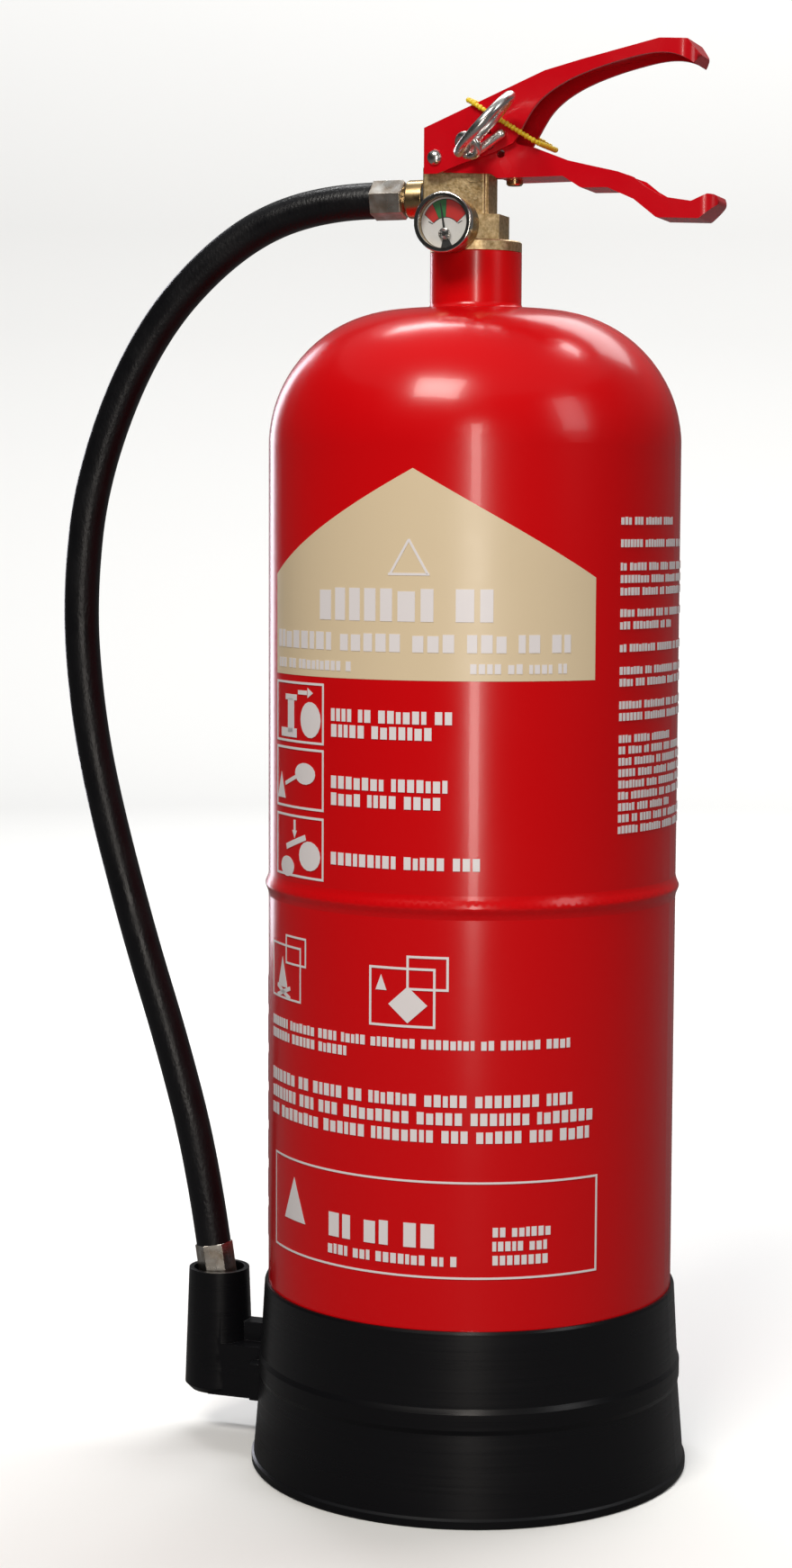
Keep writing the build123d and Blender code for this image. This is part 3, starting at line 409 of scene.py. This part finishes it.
# the outer long corners of each grip, as (x, z) in millimetres
LEVER_TOP = [
    (-17.3, 523.8),
    (30.6, 543.3),
    (45.0, 546.8),
    (75.0, 553.3),
    (85.6, 552.7),
    (89.9, 546.9),
]
HANDLE_UNDER = [
    (11.5, 504.1),
    (37.5, 504.1),
    (44.6, 499.5),
    (55.0, 499.3),
    (65.3, 494.6),
    (74.0, 487.6),
    (90.4, 486.8),
    (97.6, 492.6),
]
RIM_ROUND = 0.30 * MM


def make_grip(node, facing, bend, line):
    """A folded sheet-metal grip: the corners along its outer line are bends, its rims are soft."""
    bm = merged_copy(node)
    bm.normal_update()
    bends = []
    for edge in sharp_edges(bm, 30.0):
        slopes = sorted(abs(face.normal.y) for face in edge.link_faces)
        outer = max(face.normal.z * facing for face in edge.link_faces)
        meets_side = slopes[0] < 0.3 and slopes[1] > 0.8
        if meets_side and outer > 0.35 and near_line(edge_middle(edge), line):
            bends.append(edge)
    round_edges(bm, bends, bend, 5)
    round_edges(bm, sharp_edges(bm, 48.0), RIM_ROUND, 2)
    paint = FINISH["handle_paint"]
    obj = piece_from(
        bm, node + "_finished", BODY_OF[node], paint, 40.0, flat_faces=True
    )
    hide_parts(node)


def near_line(point, line):
    """Whether a point lies on a line given in millimetres, as seen from the side."""
    x = point.x / MM
    z = point.z / MM
    for (x0, z0), (x1, z1) in zip(line, line[1:]):
        if x0 - 0.5 <= x <= x1 + 0.5:
            share = (x - x0) / (x1 - x0)
            if abs(z0 + share * (z1 - z0) - z) < 1.2:
                return True
    return False


# half a rivet head in millimetres, as (distance from its axis, depth below its top)
RIVET_DOME = [
    (0.0, 0.0),
    (0.7, 0.05),
    (1.4, 0.20),
    (2.0, 0.46),
    (2.5, 0.84),
    (2.85, 1.30),
    (3.0, 1.78),
]
RIVET_SHANK = 1.95 * MM


def make_rivet():
    """The lever's pivot: a rivet with a domed head at each side, turned from one line."""
    low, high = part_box("lever_pivot")
    half = (high.y - low.y) / 2
    line = [(reach * MM, half - depth * MM) for reach, depth in RIVET_DOME]
    line.append((RIVET_SHANK, half - RIVET_DOME[-1][1] * MM))
    line += [(reach, -along) for reach, along in reversed(line)]
    bm = bmesh.new()
    verts = [bm.verts.new((reach, along, 0)) for reach, along in line]
    edges = [bm.edges.new(pair) for pair in zip(verts, verts[1:])]
    bmesh.ops.spin(
        bm, geom=verts + edges, cent=(0, 0, 0), axis=(0, 1, 0), angle=math.tau,
        steps=48, use_merge=True, use_duplicate=False,
    )
    bmesh.ops.remove_doubles(bm, verts=bm.verts, dist=1e-7)
    centre = ((low.x + high.x) / 2, 0, (low.z + high.z) / 2)
    bmesh.ops.translate(bm, verts=bm.verts, vec=centre)
    steel = FINISH["plated_steel"]
    obj = piece_from(bm, "rivet", BODY_OF["lever_pivot"], steel, 50.0)
    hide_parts("lever_pivot")


# ------------------------------------------------------------------ tamper seal
def make_seal_beads():
    """A moulded cord of small beads round the lever and the handle."""
    low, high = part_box("tamper_seal")
    side = high.y - 0.9 * MM
    top = Vector((low.x + 1.1 * MM, 0, high.z - 0.9 * MM))
    foot = Vector((high.x - 0.9 * MM, 0, low.z + 1.0 * MM))
    corners = [
        Vector((top.x, -side, top.z)),
        Vector((foot.x, -side, foot.z)),
        Vector((foot.x, side, foot.z)),
        Vector((top.x, side, top.z)),
    ]
    bend = 2.5 * MM
    path = []
    for index, corner in enumerate(corners):
        before = (corners[index - 1] - corner).normalized()
        after = (corners[(index + 1) % 4] - corner).normalized()
        for step in range(7):
            share = step / 6
            first = corner + before * bend * (1 - share)
            second = corner + after * bend * share
            path.append(first.lerp(second, share))
    spots = []
    pitch = 1.55 * MM
    left = 0.0
    for index in range(len(path)):
        start = path[index]
        run = path[(index + 1) % len(path)] - start
        length = run.length
        while left < length:
            spots.append((start + run * (left / length), run.normalized()))
            left += pitch
        left -= length
    bm = bmesh.new()
    for index, (spot, way) in enumerate(spots):
        bead = bmesh.ops.create_icosphere(bm, subdivisions=2, radius=1.0)["verts"]
        turn = way.to_track_quat("Z", "Y").to_matrix().to_4x4()
        size = 1.12 if index % 2 else 0.95
        shape = Matrix.Diagonal((size * MM, size * MM, 1.0 * MM, 1.0))
        bmesh.ops.transform(bm, verts=bead, matrix=Matrix.Translation(spot) @ turn @ shape)
    plastic = FINISH["seal_plastic"]
    obj = piece_from(bm, "seal_beads", BODY_OF["tamper_seal"], plastic, 60.0)
    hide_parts("tamper_seal")


# ------------------------------------------------------------------------ gauge
NEEDLE_DROP = 4.2 * MM  # the needle's pivot below the dial's middle
MARK_HEIGHT = 0.05 * MM


def make_dial_prints():
    """Printed sectors, their outlines and scale marks on the gauge's dial."""
    low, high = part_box("gauge_dial")
    centre = Vector(((low.x + high.x) / 2, low.y, (low.z + high.z) / 2))
    pivot = centre - Vector((0, 0, NEEDLE_DROP))
    face = low.y

    def sector(name, start, stop, inner, outer, lift, material):
        """A flat band turned about the needle's pivot, its outer side on the dial's circle."""
        bm = bmesh.new()
        count = 8
        verts = []
        for step in range(count + 1):
            along = inner + (outer - inner) * step / count
            verts.append(bm.verts.new((0, 0, along)))
        edges = [bm.edges.new(pair) for pair in zip(verts, verts[1:])]
        bmesh.ops.rotate(bm, verts=verts, cent=(0, 0, 0),
                         matrix=Matrix.Rotation(math.radians(start), 3, "Y"))
        bmesh.ops.spin(
            bm, geom=verts + edges, cent=(0, 0, 0), axis=(0, 1, 0),
            angle=math.radians(stop - start), steps=20, use_merge=False, use_duplicate=False,
        )
        for vert in bm.verts:
            reach = math.hypot(vert.co.x, vert.co.z)
            share = (reach - inner) / (outer - inner)
            way = Vector((vert.co.x, 0, vert.co.z)) / reach
            edge = way.z * NEEDLE_DROP + math.sqrt(outer ** 2 - (way.x * NEEDLE_DROP) ** 2)
            vert.co = way * (inner + (edge - inner) * share)
        grown = bmesh.ops.extrude_face_region(bm, geom=bm.faces[:])["geom"]
        raised = [g for g in grown if isinstance(g, bmesh.types.BMVert)]
        bmesh.ops.translate(bm, verts=raised, vec=(0, -MARK_HEIGHT, 0))
        bmesh.ops.translate(bm, verts=bm.verts, vec=(pivot.x, face - lift, pivot.z))
        return piece_from(bm, name, BODY_OF["gauge_dial"], material, 30.0)

    ink = FINISH["needle_paint"]
    sector("dial_line_outer", -48.5, 48.5, 6.1 * MM, 8.95 * MM, 0.02 * MM, ink)
    sector("dial_red_low", -47.5, -24.6, 6.4 * MM, 8.7 * MM, 0.06 * MM, RED_INK)
    sector("dial_green", -23.6, 1.5, 6.4 * MM, 8.7 * MM, 0.06 * MM, GREEN_INK)
    sector("dial_red_high", 2.5, 47.5, 6.4 * MM, 8.7 * MM, 0.06 * MM, RED_INK)
    bm = bmesh.new()
    for angle in (-62, -54, 54, 62):
        mark = bmesh.ops.create_cube(bm, size=1.0)["verts"]
        shape = Matrix.Diagonal((0.35 * MM, MARK_HEIGHT, 2.0 * MM, 1.0))
        move = Matrix.Translation(Vector((0, 0, 6.6 * MM)))
        turn = Matrix.Rotation(math.radians(angle), 4, "Y")
        place = Matrix.Translation((pivot.x, face - 0.04 * MM, pivot.z + 1.2 * MM))
        bmesh.ops.transform(bm, verts=mark, matrix=place @ turn @ move @ shape)
    piece_from(bm, "dial_marks", BODY_OF["gauge_dial"], ink, 30.0)


def make_hub_ring():
    """A raised ring and a dished cap on the gauge's hub."""
    low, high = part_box("gauge_hub")
    centre = Vector(((low.x + high.x) / 2, low.y, (low.z + high.z) / 2))
    bm = bmesh.new()
    section = [
        bm.verts.new((0, 0, 0.15 * MM)),
        bm.verts.new((0.9 * MM, 0, 0.22 * MM)),
        bm.verts.new((1.2 * MM, 0, 0.05 * MM)),
        bm.verts.new((1.5 * MM, 0, 0.22 * MM)),
        bm.verts.new((1.9 * MM, 0, 0.0)),
        bm.verts.new((1.9 * MM, 0, -0.4 * MM)),
        bm.verts.new((0, 0, -0.4 * MM)),
    ]
    edges = [bm.edges.new(pair) for pair in zip(section, section[1:])]
    bmesh.ops.spin(bm, geom=section + edges, cent=(0, 0, 0), axis=(0, 0, 1),
                   angle=math.tau, steps=40, use_merge=True, use_duplicate=False)
    bmesh.ops.remove_doubles(bm, verts=bm.verts, dist=1e-7)
    bmesh.ops.rotate(bm, verts=bm.verts, cent=(0, 0, 0), matrix=QUARTER_TURN)
    bmesh.ops.translate(bm, verts=bm.verts, vec=centre)
    piece_from(bm, "gauge_hub_cap", BODY_OF["gauge_hub"], FINISH["nickel"], 30.0)


# -------------------------------------------------------------- prints on the shell
PRINT_REACH = SHELL_RADIUS + 0.10 * MM
PRINT_DEPTH = 0.10 * MM
PRINT_LIFT = 0.10 * MM
PANEL_DEPTH = 0.08 * MM
STRIP_WIDTH = 4.0 * MM
STRIPS = range(-28, 46)


def wrapped(bm, verts):
    """Bends flat print, drawn as arc length along X and height along Z, round the shell."""
    for vert in verts:
        angle = vert.co.x / SHELL_RADIUS
        reach = PRINT_REACH - vert.co.y
        vert.co = Vector((reach * math.sin(angle), -reach * math.cos(angle), vert.co.z))


def arc(angle):
    """Arc length round the shell for an angle in degrees from its front."""
    return math.radians(angle) * SHELL_RADIUS


def flat_bar(bm, x, z, width, height, turn=0.0):
    """A thin bar, centred."""
    bar = bmesh.ops.create_cube(bm, size=1.0)["verts"]
    bmesh.ops.transform(bm, verts=bar, matrix=Matrix.Diagonal((width, PRINT_DEPTH, height, 1.0)))
    turned = Matrix.Rotation(math.radians(turn), 3, "Y")
    bmesh.ops.rotate(bm, verts=bar, cent=(0, 0, 0), matrix=turned)
    bmesh.ops.translate(bm, verts=bar, vec=(x, -PRINT_LIFT, z))


def print_words(bm, start, stop, z, height, rng, bold=0.62):
    """A line of blocks the size of words, from one angle to another."""
    x = arc(start)
    end = arc(stop)
    while x < end - height:
        letters = rng.randint(2, 9)
        for _ in range(letters):
            width = height * rng.choice((0.50, bold, bold, 0.70))
            if x + width > end:
                return
            tall = height * rng.choice((1.0, 1.0, 1.0, 0.92))
            flat_bar(bm, x + width / 2, z + (tall - height) / 2, width * 0.80, tall)
            x += width + height * 0.06
        x += height * 0.50


def outline_box(bm, left, right, low, high, line):
    """A drawn frame."""
    middle = (left + right) / 2
    for z in (low, high):
        flat_bar(bm, middle, z, right - left + line, line)
    for x in (left, right):
        flat_bar(bm, x, (low + high) / 2, line, high - low - line)


def flat_prism(bm, x, z, radius, corners, turn=0.0, squash=1.0):
    """A thin shape with even corners; turn is from a corner pointing right."""
    shape = bmesh.ops.create_cone(
        bm, cap_ends=True, cap_tris=False, segments=corners,
        radius1=radius, radius2=radius, depth=PRINT_DEPTH,
    )["verts"]
    turned = Matrix.Rotation(math.radians(turn - 90), 3, "Z")
    bmesh.ops.rotate(bm, verts=shape, cent=(0, 0, 0), matrix=turned)
    bmesh.ops.scale(bm, verts=shape, vec=(1.0, squash, 1.0))
    bmesh.ops.rotate(bm, verts=shape, cent=(0, 0, 0), matrix=QUARTER_TURN)
    bmesh.ops.translate(bm, verts=shape, vec=(x, -PRINT_LIFT, z))


def wrap_prints(bm):
    """Cuts flat prints into upright strips narrow enough to follow the shell, and bends them."""
    for step in STRIPS:
        bmesh.ops.bisect_plane(
            bm, geom=bm.verts[:] + bm.edges[:] + bm.faces[:], dist=1e-7,
            plane_co=(step * STRIP_WIDTH, 0, 0), plane_no=(1, 0, 0),
        )
    wrapped(bm, bm.verts)


def make_cream_panel():
    """The cream panel with a roof-shaped top edge."""
    left = arc(-51.3)
    right = arc(52.1)
    low = 316.0 * MM
    shoulder = 353.7 * MM
    apex_x = arc(1.7)
    apex_z = 393.3 * MM
    bm = bmesh.new()
    bmesh.ops.create_grid(bm, x_segments=60, y_segments=4, size=0.5)
    bmesh.ops.rotate(bm, verts=bm.verts, cent=(0, 0, 0), matrix=QUARTER_TURN)
    bmesh.ops.scale(bm, verts=bm.verts, vec=(right - left, 1.0, apex_z - low))
    bmesh.ops.translate(bm, verts=bm.verts, vec=((left + right) / 2, 0, (low + apex_z) / 2))
    for corner in (left, right):
        run = Vector((apex_x - corner, 0, apex_z - shoulder))
        up = Vector((-run.z, 0, run.x))
        if up.z < 0:
            up = -up
        bmesh.ops.bisect_plane(
            bm, geom=bm.verts[:] + bm.edges[:] + bm.faces[:], dist=1e-7,
            plane_co=(corner, 0, shoulder), plane_no=up.normalized(), clear_outer=True,
        )
    grown = bmesh.ops.extrude_face_region(bm, geom=bm.faces[:])["geom"]
    backs = [g for g in grown if isinstance(g, bmesh.types.BMVert)]
    bmesh.ops.translate(bm, verts=backs, vec=(0, PANEL_DEPTH, 0))
    wrapped(bm, bm.verts)
    piece_from(bm, "cream_panel", BODY_OF["cylinder_shell"], CREAM, 40.0)


def make_white_prints():
    """Plain blocks and simple signs in place of the words on the shell."""
    rng = random.Random(7)
    bm = bmesh.new()
    print_words(bm, -28.0, 25.0, 343.5 * MM, 12.0 * MM, rng, 0.62)
    print_words(bm, -49.5, 46.5, 329.6 * MM, 6.6 * MM, rng, 0.80)
    print_words(bm, -49.0, -15.5, 320.5 * MM, 3.6 * MM, rng, 0.80)
    print_words(bm, 17.0, 45.0, 320.5 * MM, 3.6 * MM, rng, 0.80)
    for turn, x, z in ((30, -3.2, 361.0), (-30, 4.2, 361.0)):
        flat_bar(bm, arc(0.4) + x * MM, z * MM, 0.9 * MM, 15.0 * MM, turn)
    flat_bar(bm, arc(0.7), 354.8 * MM, 16.0 * MM, 0.9 * MM)
    # three sign boxes and their lines
    left = arc(-50.5)
    right = arc(-26.2)
    middle = (left + right) / 2
    for low, high in ((290.9, 313.1), (265.9, 288.2), (239.7, 262.5)):
        outline_box(bm, left, right, low * MM, high * MM, 0.9 * MM)
    flat_bar(bm, middle - 4.0 * MM, 300.5 * MM, 5.0 * MM, 13.0 * MM)
    flat_bar(bm, middle - 4.0 * MM, 307.5 * MM, 9.0 * MM, 2.2 * MM)
    flat_bar(bm, middle - 6.0 * MM, 294.0 * MM, 13.0 * MM, 3.4 * MM)
    flat_prism(bm, middle + 9.5 * MM, 299.5 * MM, 6.2 * MM, 18, squash=1.1)
    flat_bar(bm, middle + 4.5 * MM, 309.6 * MM, 6.0 * MM, 1.6 * MM)
    flat_prism(bm, middle + 9.0 * MM, 309.6 * MM, 2.2 * MM, 3, turn=0.0)
    flat_prism(bm, middle + 6.0 * MM, 279.0 * MM, 6.6 * MM, 18, squash=0.62)
    flat_bar(bm, middle - 3.0 * MM, 276.4 * MM, 12.0 * MM, 1.5 * MM, turn=-20.0)
    flat_prism(bm, middle - 12.5 * MM, 272.0 * MM, 4.4 * MM, 3, turn=90.0, squash=1.5)
    flat_prism(bm, middle + 9.0 * MM, 248.0 * MM, 6.6 * MM, 18, squash=0.85)
    flat_prism(bm, middle - 7.0 * MM, 242.8 * MM, 5.6 * MM, 18, squash=0.7)
    flat_bar(bm, middle - 0.5 * MM, 252.6 * MM, 15.0 * MM, 2.2 * MM, turn=-18.0)
    flat_bar(bm, middle - 1.0 * MM, 258.8 * MM, 1.4 * MM, 4.4 * MM)
    flat_prism(bm, middle - 1.0 * MM, 256.0 * MM, 2.0 * MM, 3, turn=-90.0)
    print_words(bm, -23.3, 13.3, 302.3 * MM, 4.7 * MM, rng, 0.72)
    print_words(bm, -23.3, 11.4, 296.4 * MM, 4.7 * MM, rng, 0.72)
    print_words(bm, -23.3, 15.3, 277.2 * MM, 4.7 * MM, rng, 0.72)
    print_words(bm, -23.3, 11.0, 270.9 * MM, 4.7 * MM, rng, 0.72)
    print_words(bm, -23.3, 21.0, 248.6 * MM, 4.7 * MM, rng, 0.72)
    # column of small lines round the side
    heights = [374.5, 366.2, 357.6, 353.0, 348.4, 340.4, 335.8, 327.4, 319.0, 314.6, 306.2, 301.8]
    heights += [293.6 - 4.25 * step for step in range(9)]
    for index, z in enumerate(heights):
        stop = (88, 100, 126, 124, 120, 118, 88, 112, 126, 118, 110, 122)[index % 12]
        print_words(bm, 60.5, stop, z * MM, 2.9 * MM, rng, 0.62)
    # fire class boxes
    outline_box(bm, arc(-54.5), arc(-36.0), 191.5 * MM, 212.0 * MM, 0.8 * MM)
    outline_box(bm, arc(-44.0), arc(-33.5), 205.5 * MM, 216.0 * MM, 0.8 * MM)
    flat_prism(bm, arc(-46.5), 199.5 * MM, 5.2 * MM, 3, turn=90.0, squash=1.5)
    flat_bar(bm, arc(-46.0), 193.8 * MM, 13.0 * MM, 1.6 * MM, turn=18.0)
    flat_bar(bm, arc(-46.0), 193.8 * MM, 13.0 * MM, 1.6 * MM, turn=-18.0)
    outline_box(bm, arc(-9.8), arc(8.3), 188.0 * MM, 209.5 * MM, 0.9 * MM)
    outline_box(bm, arc(1.0), arc(11.8), 202.0 * MM, 214.0 * MM, 0.9 * MM)
    flat_prism(bm, arc(1.0), 196.0 * MM, 7.6 * MM, 4, turn=0.0, squash=0.9)
    flat_prism(bm, arc(-6.6), 203.0 * MM, 2.6 * MM, 3, turn=90.0, squash=1.5)
    # lines below the boxes
    print_words(bm, -54.9, 46.6, 181.6 * MM, 3.6 * MM, rng, 0.70)
    print_words(bm, -54.9, -15.0, 176.6 * MM, 3.6 * MM, rng, 0.70)
    print_words(bm, -54.9, 47.8, 160.6 * MM, 4.6 * MM, rng, 0.72)
    print_words(bm, -54.9, 52.9, 153.9 * MM, 4.6 * MM, rng, 0.72)
    print_words(bm, -54.9, 54.1, 147.2 * MM, 4.6 * MM, rng, 0.72)
    # framed line near the foot
    outline_box(bm, arc(-51.5), arc(54.3), 94.0 * MM, 130.0 * MM, 0.8 * MM)
    flat_prism(bm, arc(-39.0), 112.0 * MM, 9.0 * MM, 3, turn=90.0, squash=1.25)
    print_words(bm, -24.0, 16.5, 109.5 * MM, 9.2 * MM, rng, 0.66)
    print_words(bm, -24.0, 16.5, 100.2 * MM, 3.8 * MM, rng, 0.74)
    for z in (111.4, 106.1, 100.8):
        print_words(bm, 24.0, 41.5, z * MM, 3.6 * MM, rng, 0.70)
    # tall blocks up the left side
    for step in range(7):
        z = (96.0 + step * 15.5) * MM
        flat_bar(bm, arc(-72.5), z, 9.0 * MM, 11.5 * MM)
    wrap_prints(bm)
    piece_from(bm, "white_prints", BODY_OF["cylinder_shell"], WHITE, 30.0)


# ------------------------------------------------------------- stage and lights
FLOOR_REACH = 2.6
WALL_BEND = 0.8
WALL_TOP = 3.2
BEND_STEPS = 8


def camera_sees(tree, seen, otherwise, surface):
    """Shows one shader to the camera, while every other ray meets another."""
    ray = tree.nodes.new("ShaderNodeLightPath")
    either = tree.nodes.new("ShaderNodeMixShader")
    tree.links.new(ray.outputs["Is Camera Ray"], either.inputs["Fac"])
    tree.links.new(otherwise, either.inputs[1])
    tree.links.new(seen, either.inputs[2])
    tree.links.new(either.outputs["Shader"], surface)


def make_stage():
    """A pale floor that turns up into a pale wall and throws little light back at the object."""
    bm = bmesh.new()
    verts = [bm.verts.new((0, 0, 0)), bm.verts.new((FLOOR_REACH, 0, 0))]
    for step in range(1, BEND_STEPS + 1):
        turn = math.radians(90 * step / BEND_STEPS)
        out = FLOOR_REACH + WALL_BEND * math.sin(turn)
        verts.append(bm.verts.new((out, 0, WALL_BEND * (1 - math.cos(turn)))))
    verts.append(bm.verts.new((FLOOR_REACH + WALL_BEND, 0, WALL_TOP)))
    edges = [bm.edges.new(pair) for pair in zip(verts, verts[1:])]
    bmesh.ops.spin(bm, geom=verts + edges, cent=(0, 0, 0), axis=(0, 0, 1),
                   angle=math.tau, steps=72, use_merge=True, use_duplicate=False)
    bmesh.ops.remove_doubles(bm, verts=bm.verts, dist=1e-6)
    bmesh.ops.recalc_face_normals(bm, faces=bm.faces)
    mesh = bpy.data.meshes.new("pale_floor")
    bm.to_mesh(mesh)
    bm.free()
    mesh.shade_smooth()
    stage = bpy.data.objects.new("pale_floor", mesh)
    bpy.context.scene.collection.objects.link(stage)
    floor = flat_ink("pale_floor", (0.84, 0.84, 0.83), 0.9)
    nodes = floor.node_tree.nodes
    dim = nodes.new("ShaderNodeBsdfDiffuse")
    dim.inputs["Color"].default_value = (0.10, 0.10, 0.10, 1.0)
    pale = nodes["Principled BSDF"].outputs["BSDF"]
    surface = nodes["Material Output"].inputs["Surface"]
    camera_sees(floor.node_tree, pale, dim.outputs["BSDF"], surface)
    dress(stage, floor)


def area_light(name, place, target, width, height, energy, colour=(1, 1, 1)):
    """A rectangular light turned towards a point."""
    data = bpy.data.lights.new(name, "AREA")
    data.shape = "RECTANGLE"
    data.size = width
    data.size_y = height
    data.energy = energy
    data.color = colour
    light = bpy.data.objects.new(name, data)
    bpy.context.scene.collection.objects.link(light)
    way = Vector(target) - Vector(place)
    turned = way.to_track_quat("-Z", "Y").to_matrix().to_4x4()
    light.matrix_world = Matrix.Translation(place) @ turned


def make_lights():
    """A soft key light ahead, strips and a fill at the sides, and lights for the back and wall."""
    area_light("key", (-0.2, -1.7, 2.1), (0, 0, 0.30), 1.0, 0.7, 44.0, (1.0, 0.96, 0.90))
    area_light("front_strip", (0.47, -1.38, 0.42), (0, 0, 0.30), 0.13, 0.75, 5.5, (1.0, 0.93, 0.86))
    area_light("left_edge", (-1.0, 0.95, 0.42), (0, 0, 0.28), 0.22, 1.2, 4.0, (0.90, 0.90, 1.0))
    area_light("right_fill", (1.7, -0.5, 1.1), (0, 0, 0.30), 0.5, 0.8, 5.0)
    area_light("back_top", (0.4, 1.7, 2.0), (0, 0, 0.30), 1.4, 0.9, 14.0)
    area_light("backdrop", (0, 1.2, 3.0), (0, 3.1, 0.5), 3.0, 0.8, 120.0)
    world = bpy.data.worlds.new("studio")
    world.use_nodes = True
    nodes = world.node_tree.nodes
    lit = nodes["Background"]
    lit.inputs["Color"].default_value = (0.9, 0.92, 0.95, 1.0)
    lit.inputs["Strength"].default_value = 0.26
    seen = nodes.new("ShaderNodeBackground")
    seen.inputs["Color"].default_value = (0.82, 0.82, 0.81, 1.0)
    surface = nodes["World Output"].inputs["Surface"]
    camera_sees(world.node_tree, seen.outputs["Background"], lit.outputs["Background"], surface)
    bpy.context.scene.world = world


# ------------------------------------------------------------------- put together
aim_camera()
make_stage()
make_lights()

nozzle_ferrule = finished_node("hose_ferrule_nozzle", 0.5 * MM, 3)
valve_ferrule = finished_node("hose_ferrule_valve", 0.5 * MM, 3)
make_hose()

make_grip("operating_lever", 1, 2.4 * MM, LEVER_TOP)
make_grip("carry_handle", -1, 3.0 * MM, HANDLE_UNDER)
finished_node("valve_body", 0.35 * MM, 2)
finished_node("hose_adaptor", 0.3 * MM, 2)
finished_node("nozzle_holder", 0.9 * MM, 3)
make_rivet()
make_seal_beads()
make_dial_prints()
make_hub_ring()
make_cream_panel()
make_white_prints()
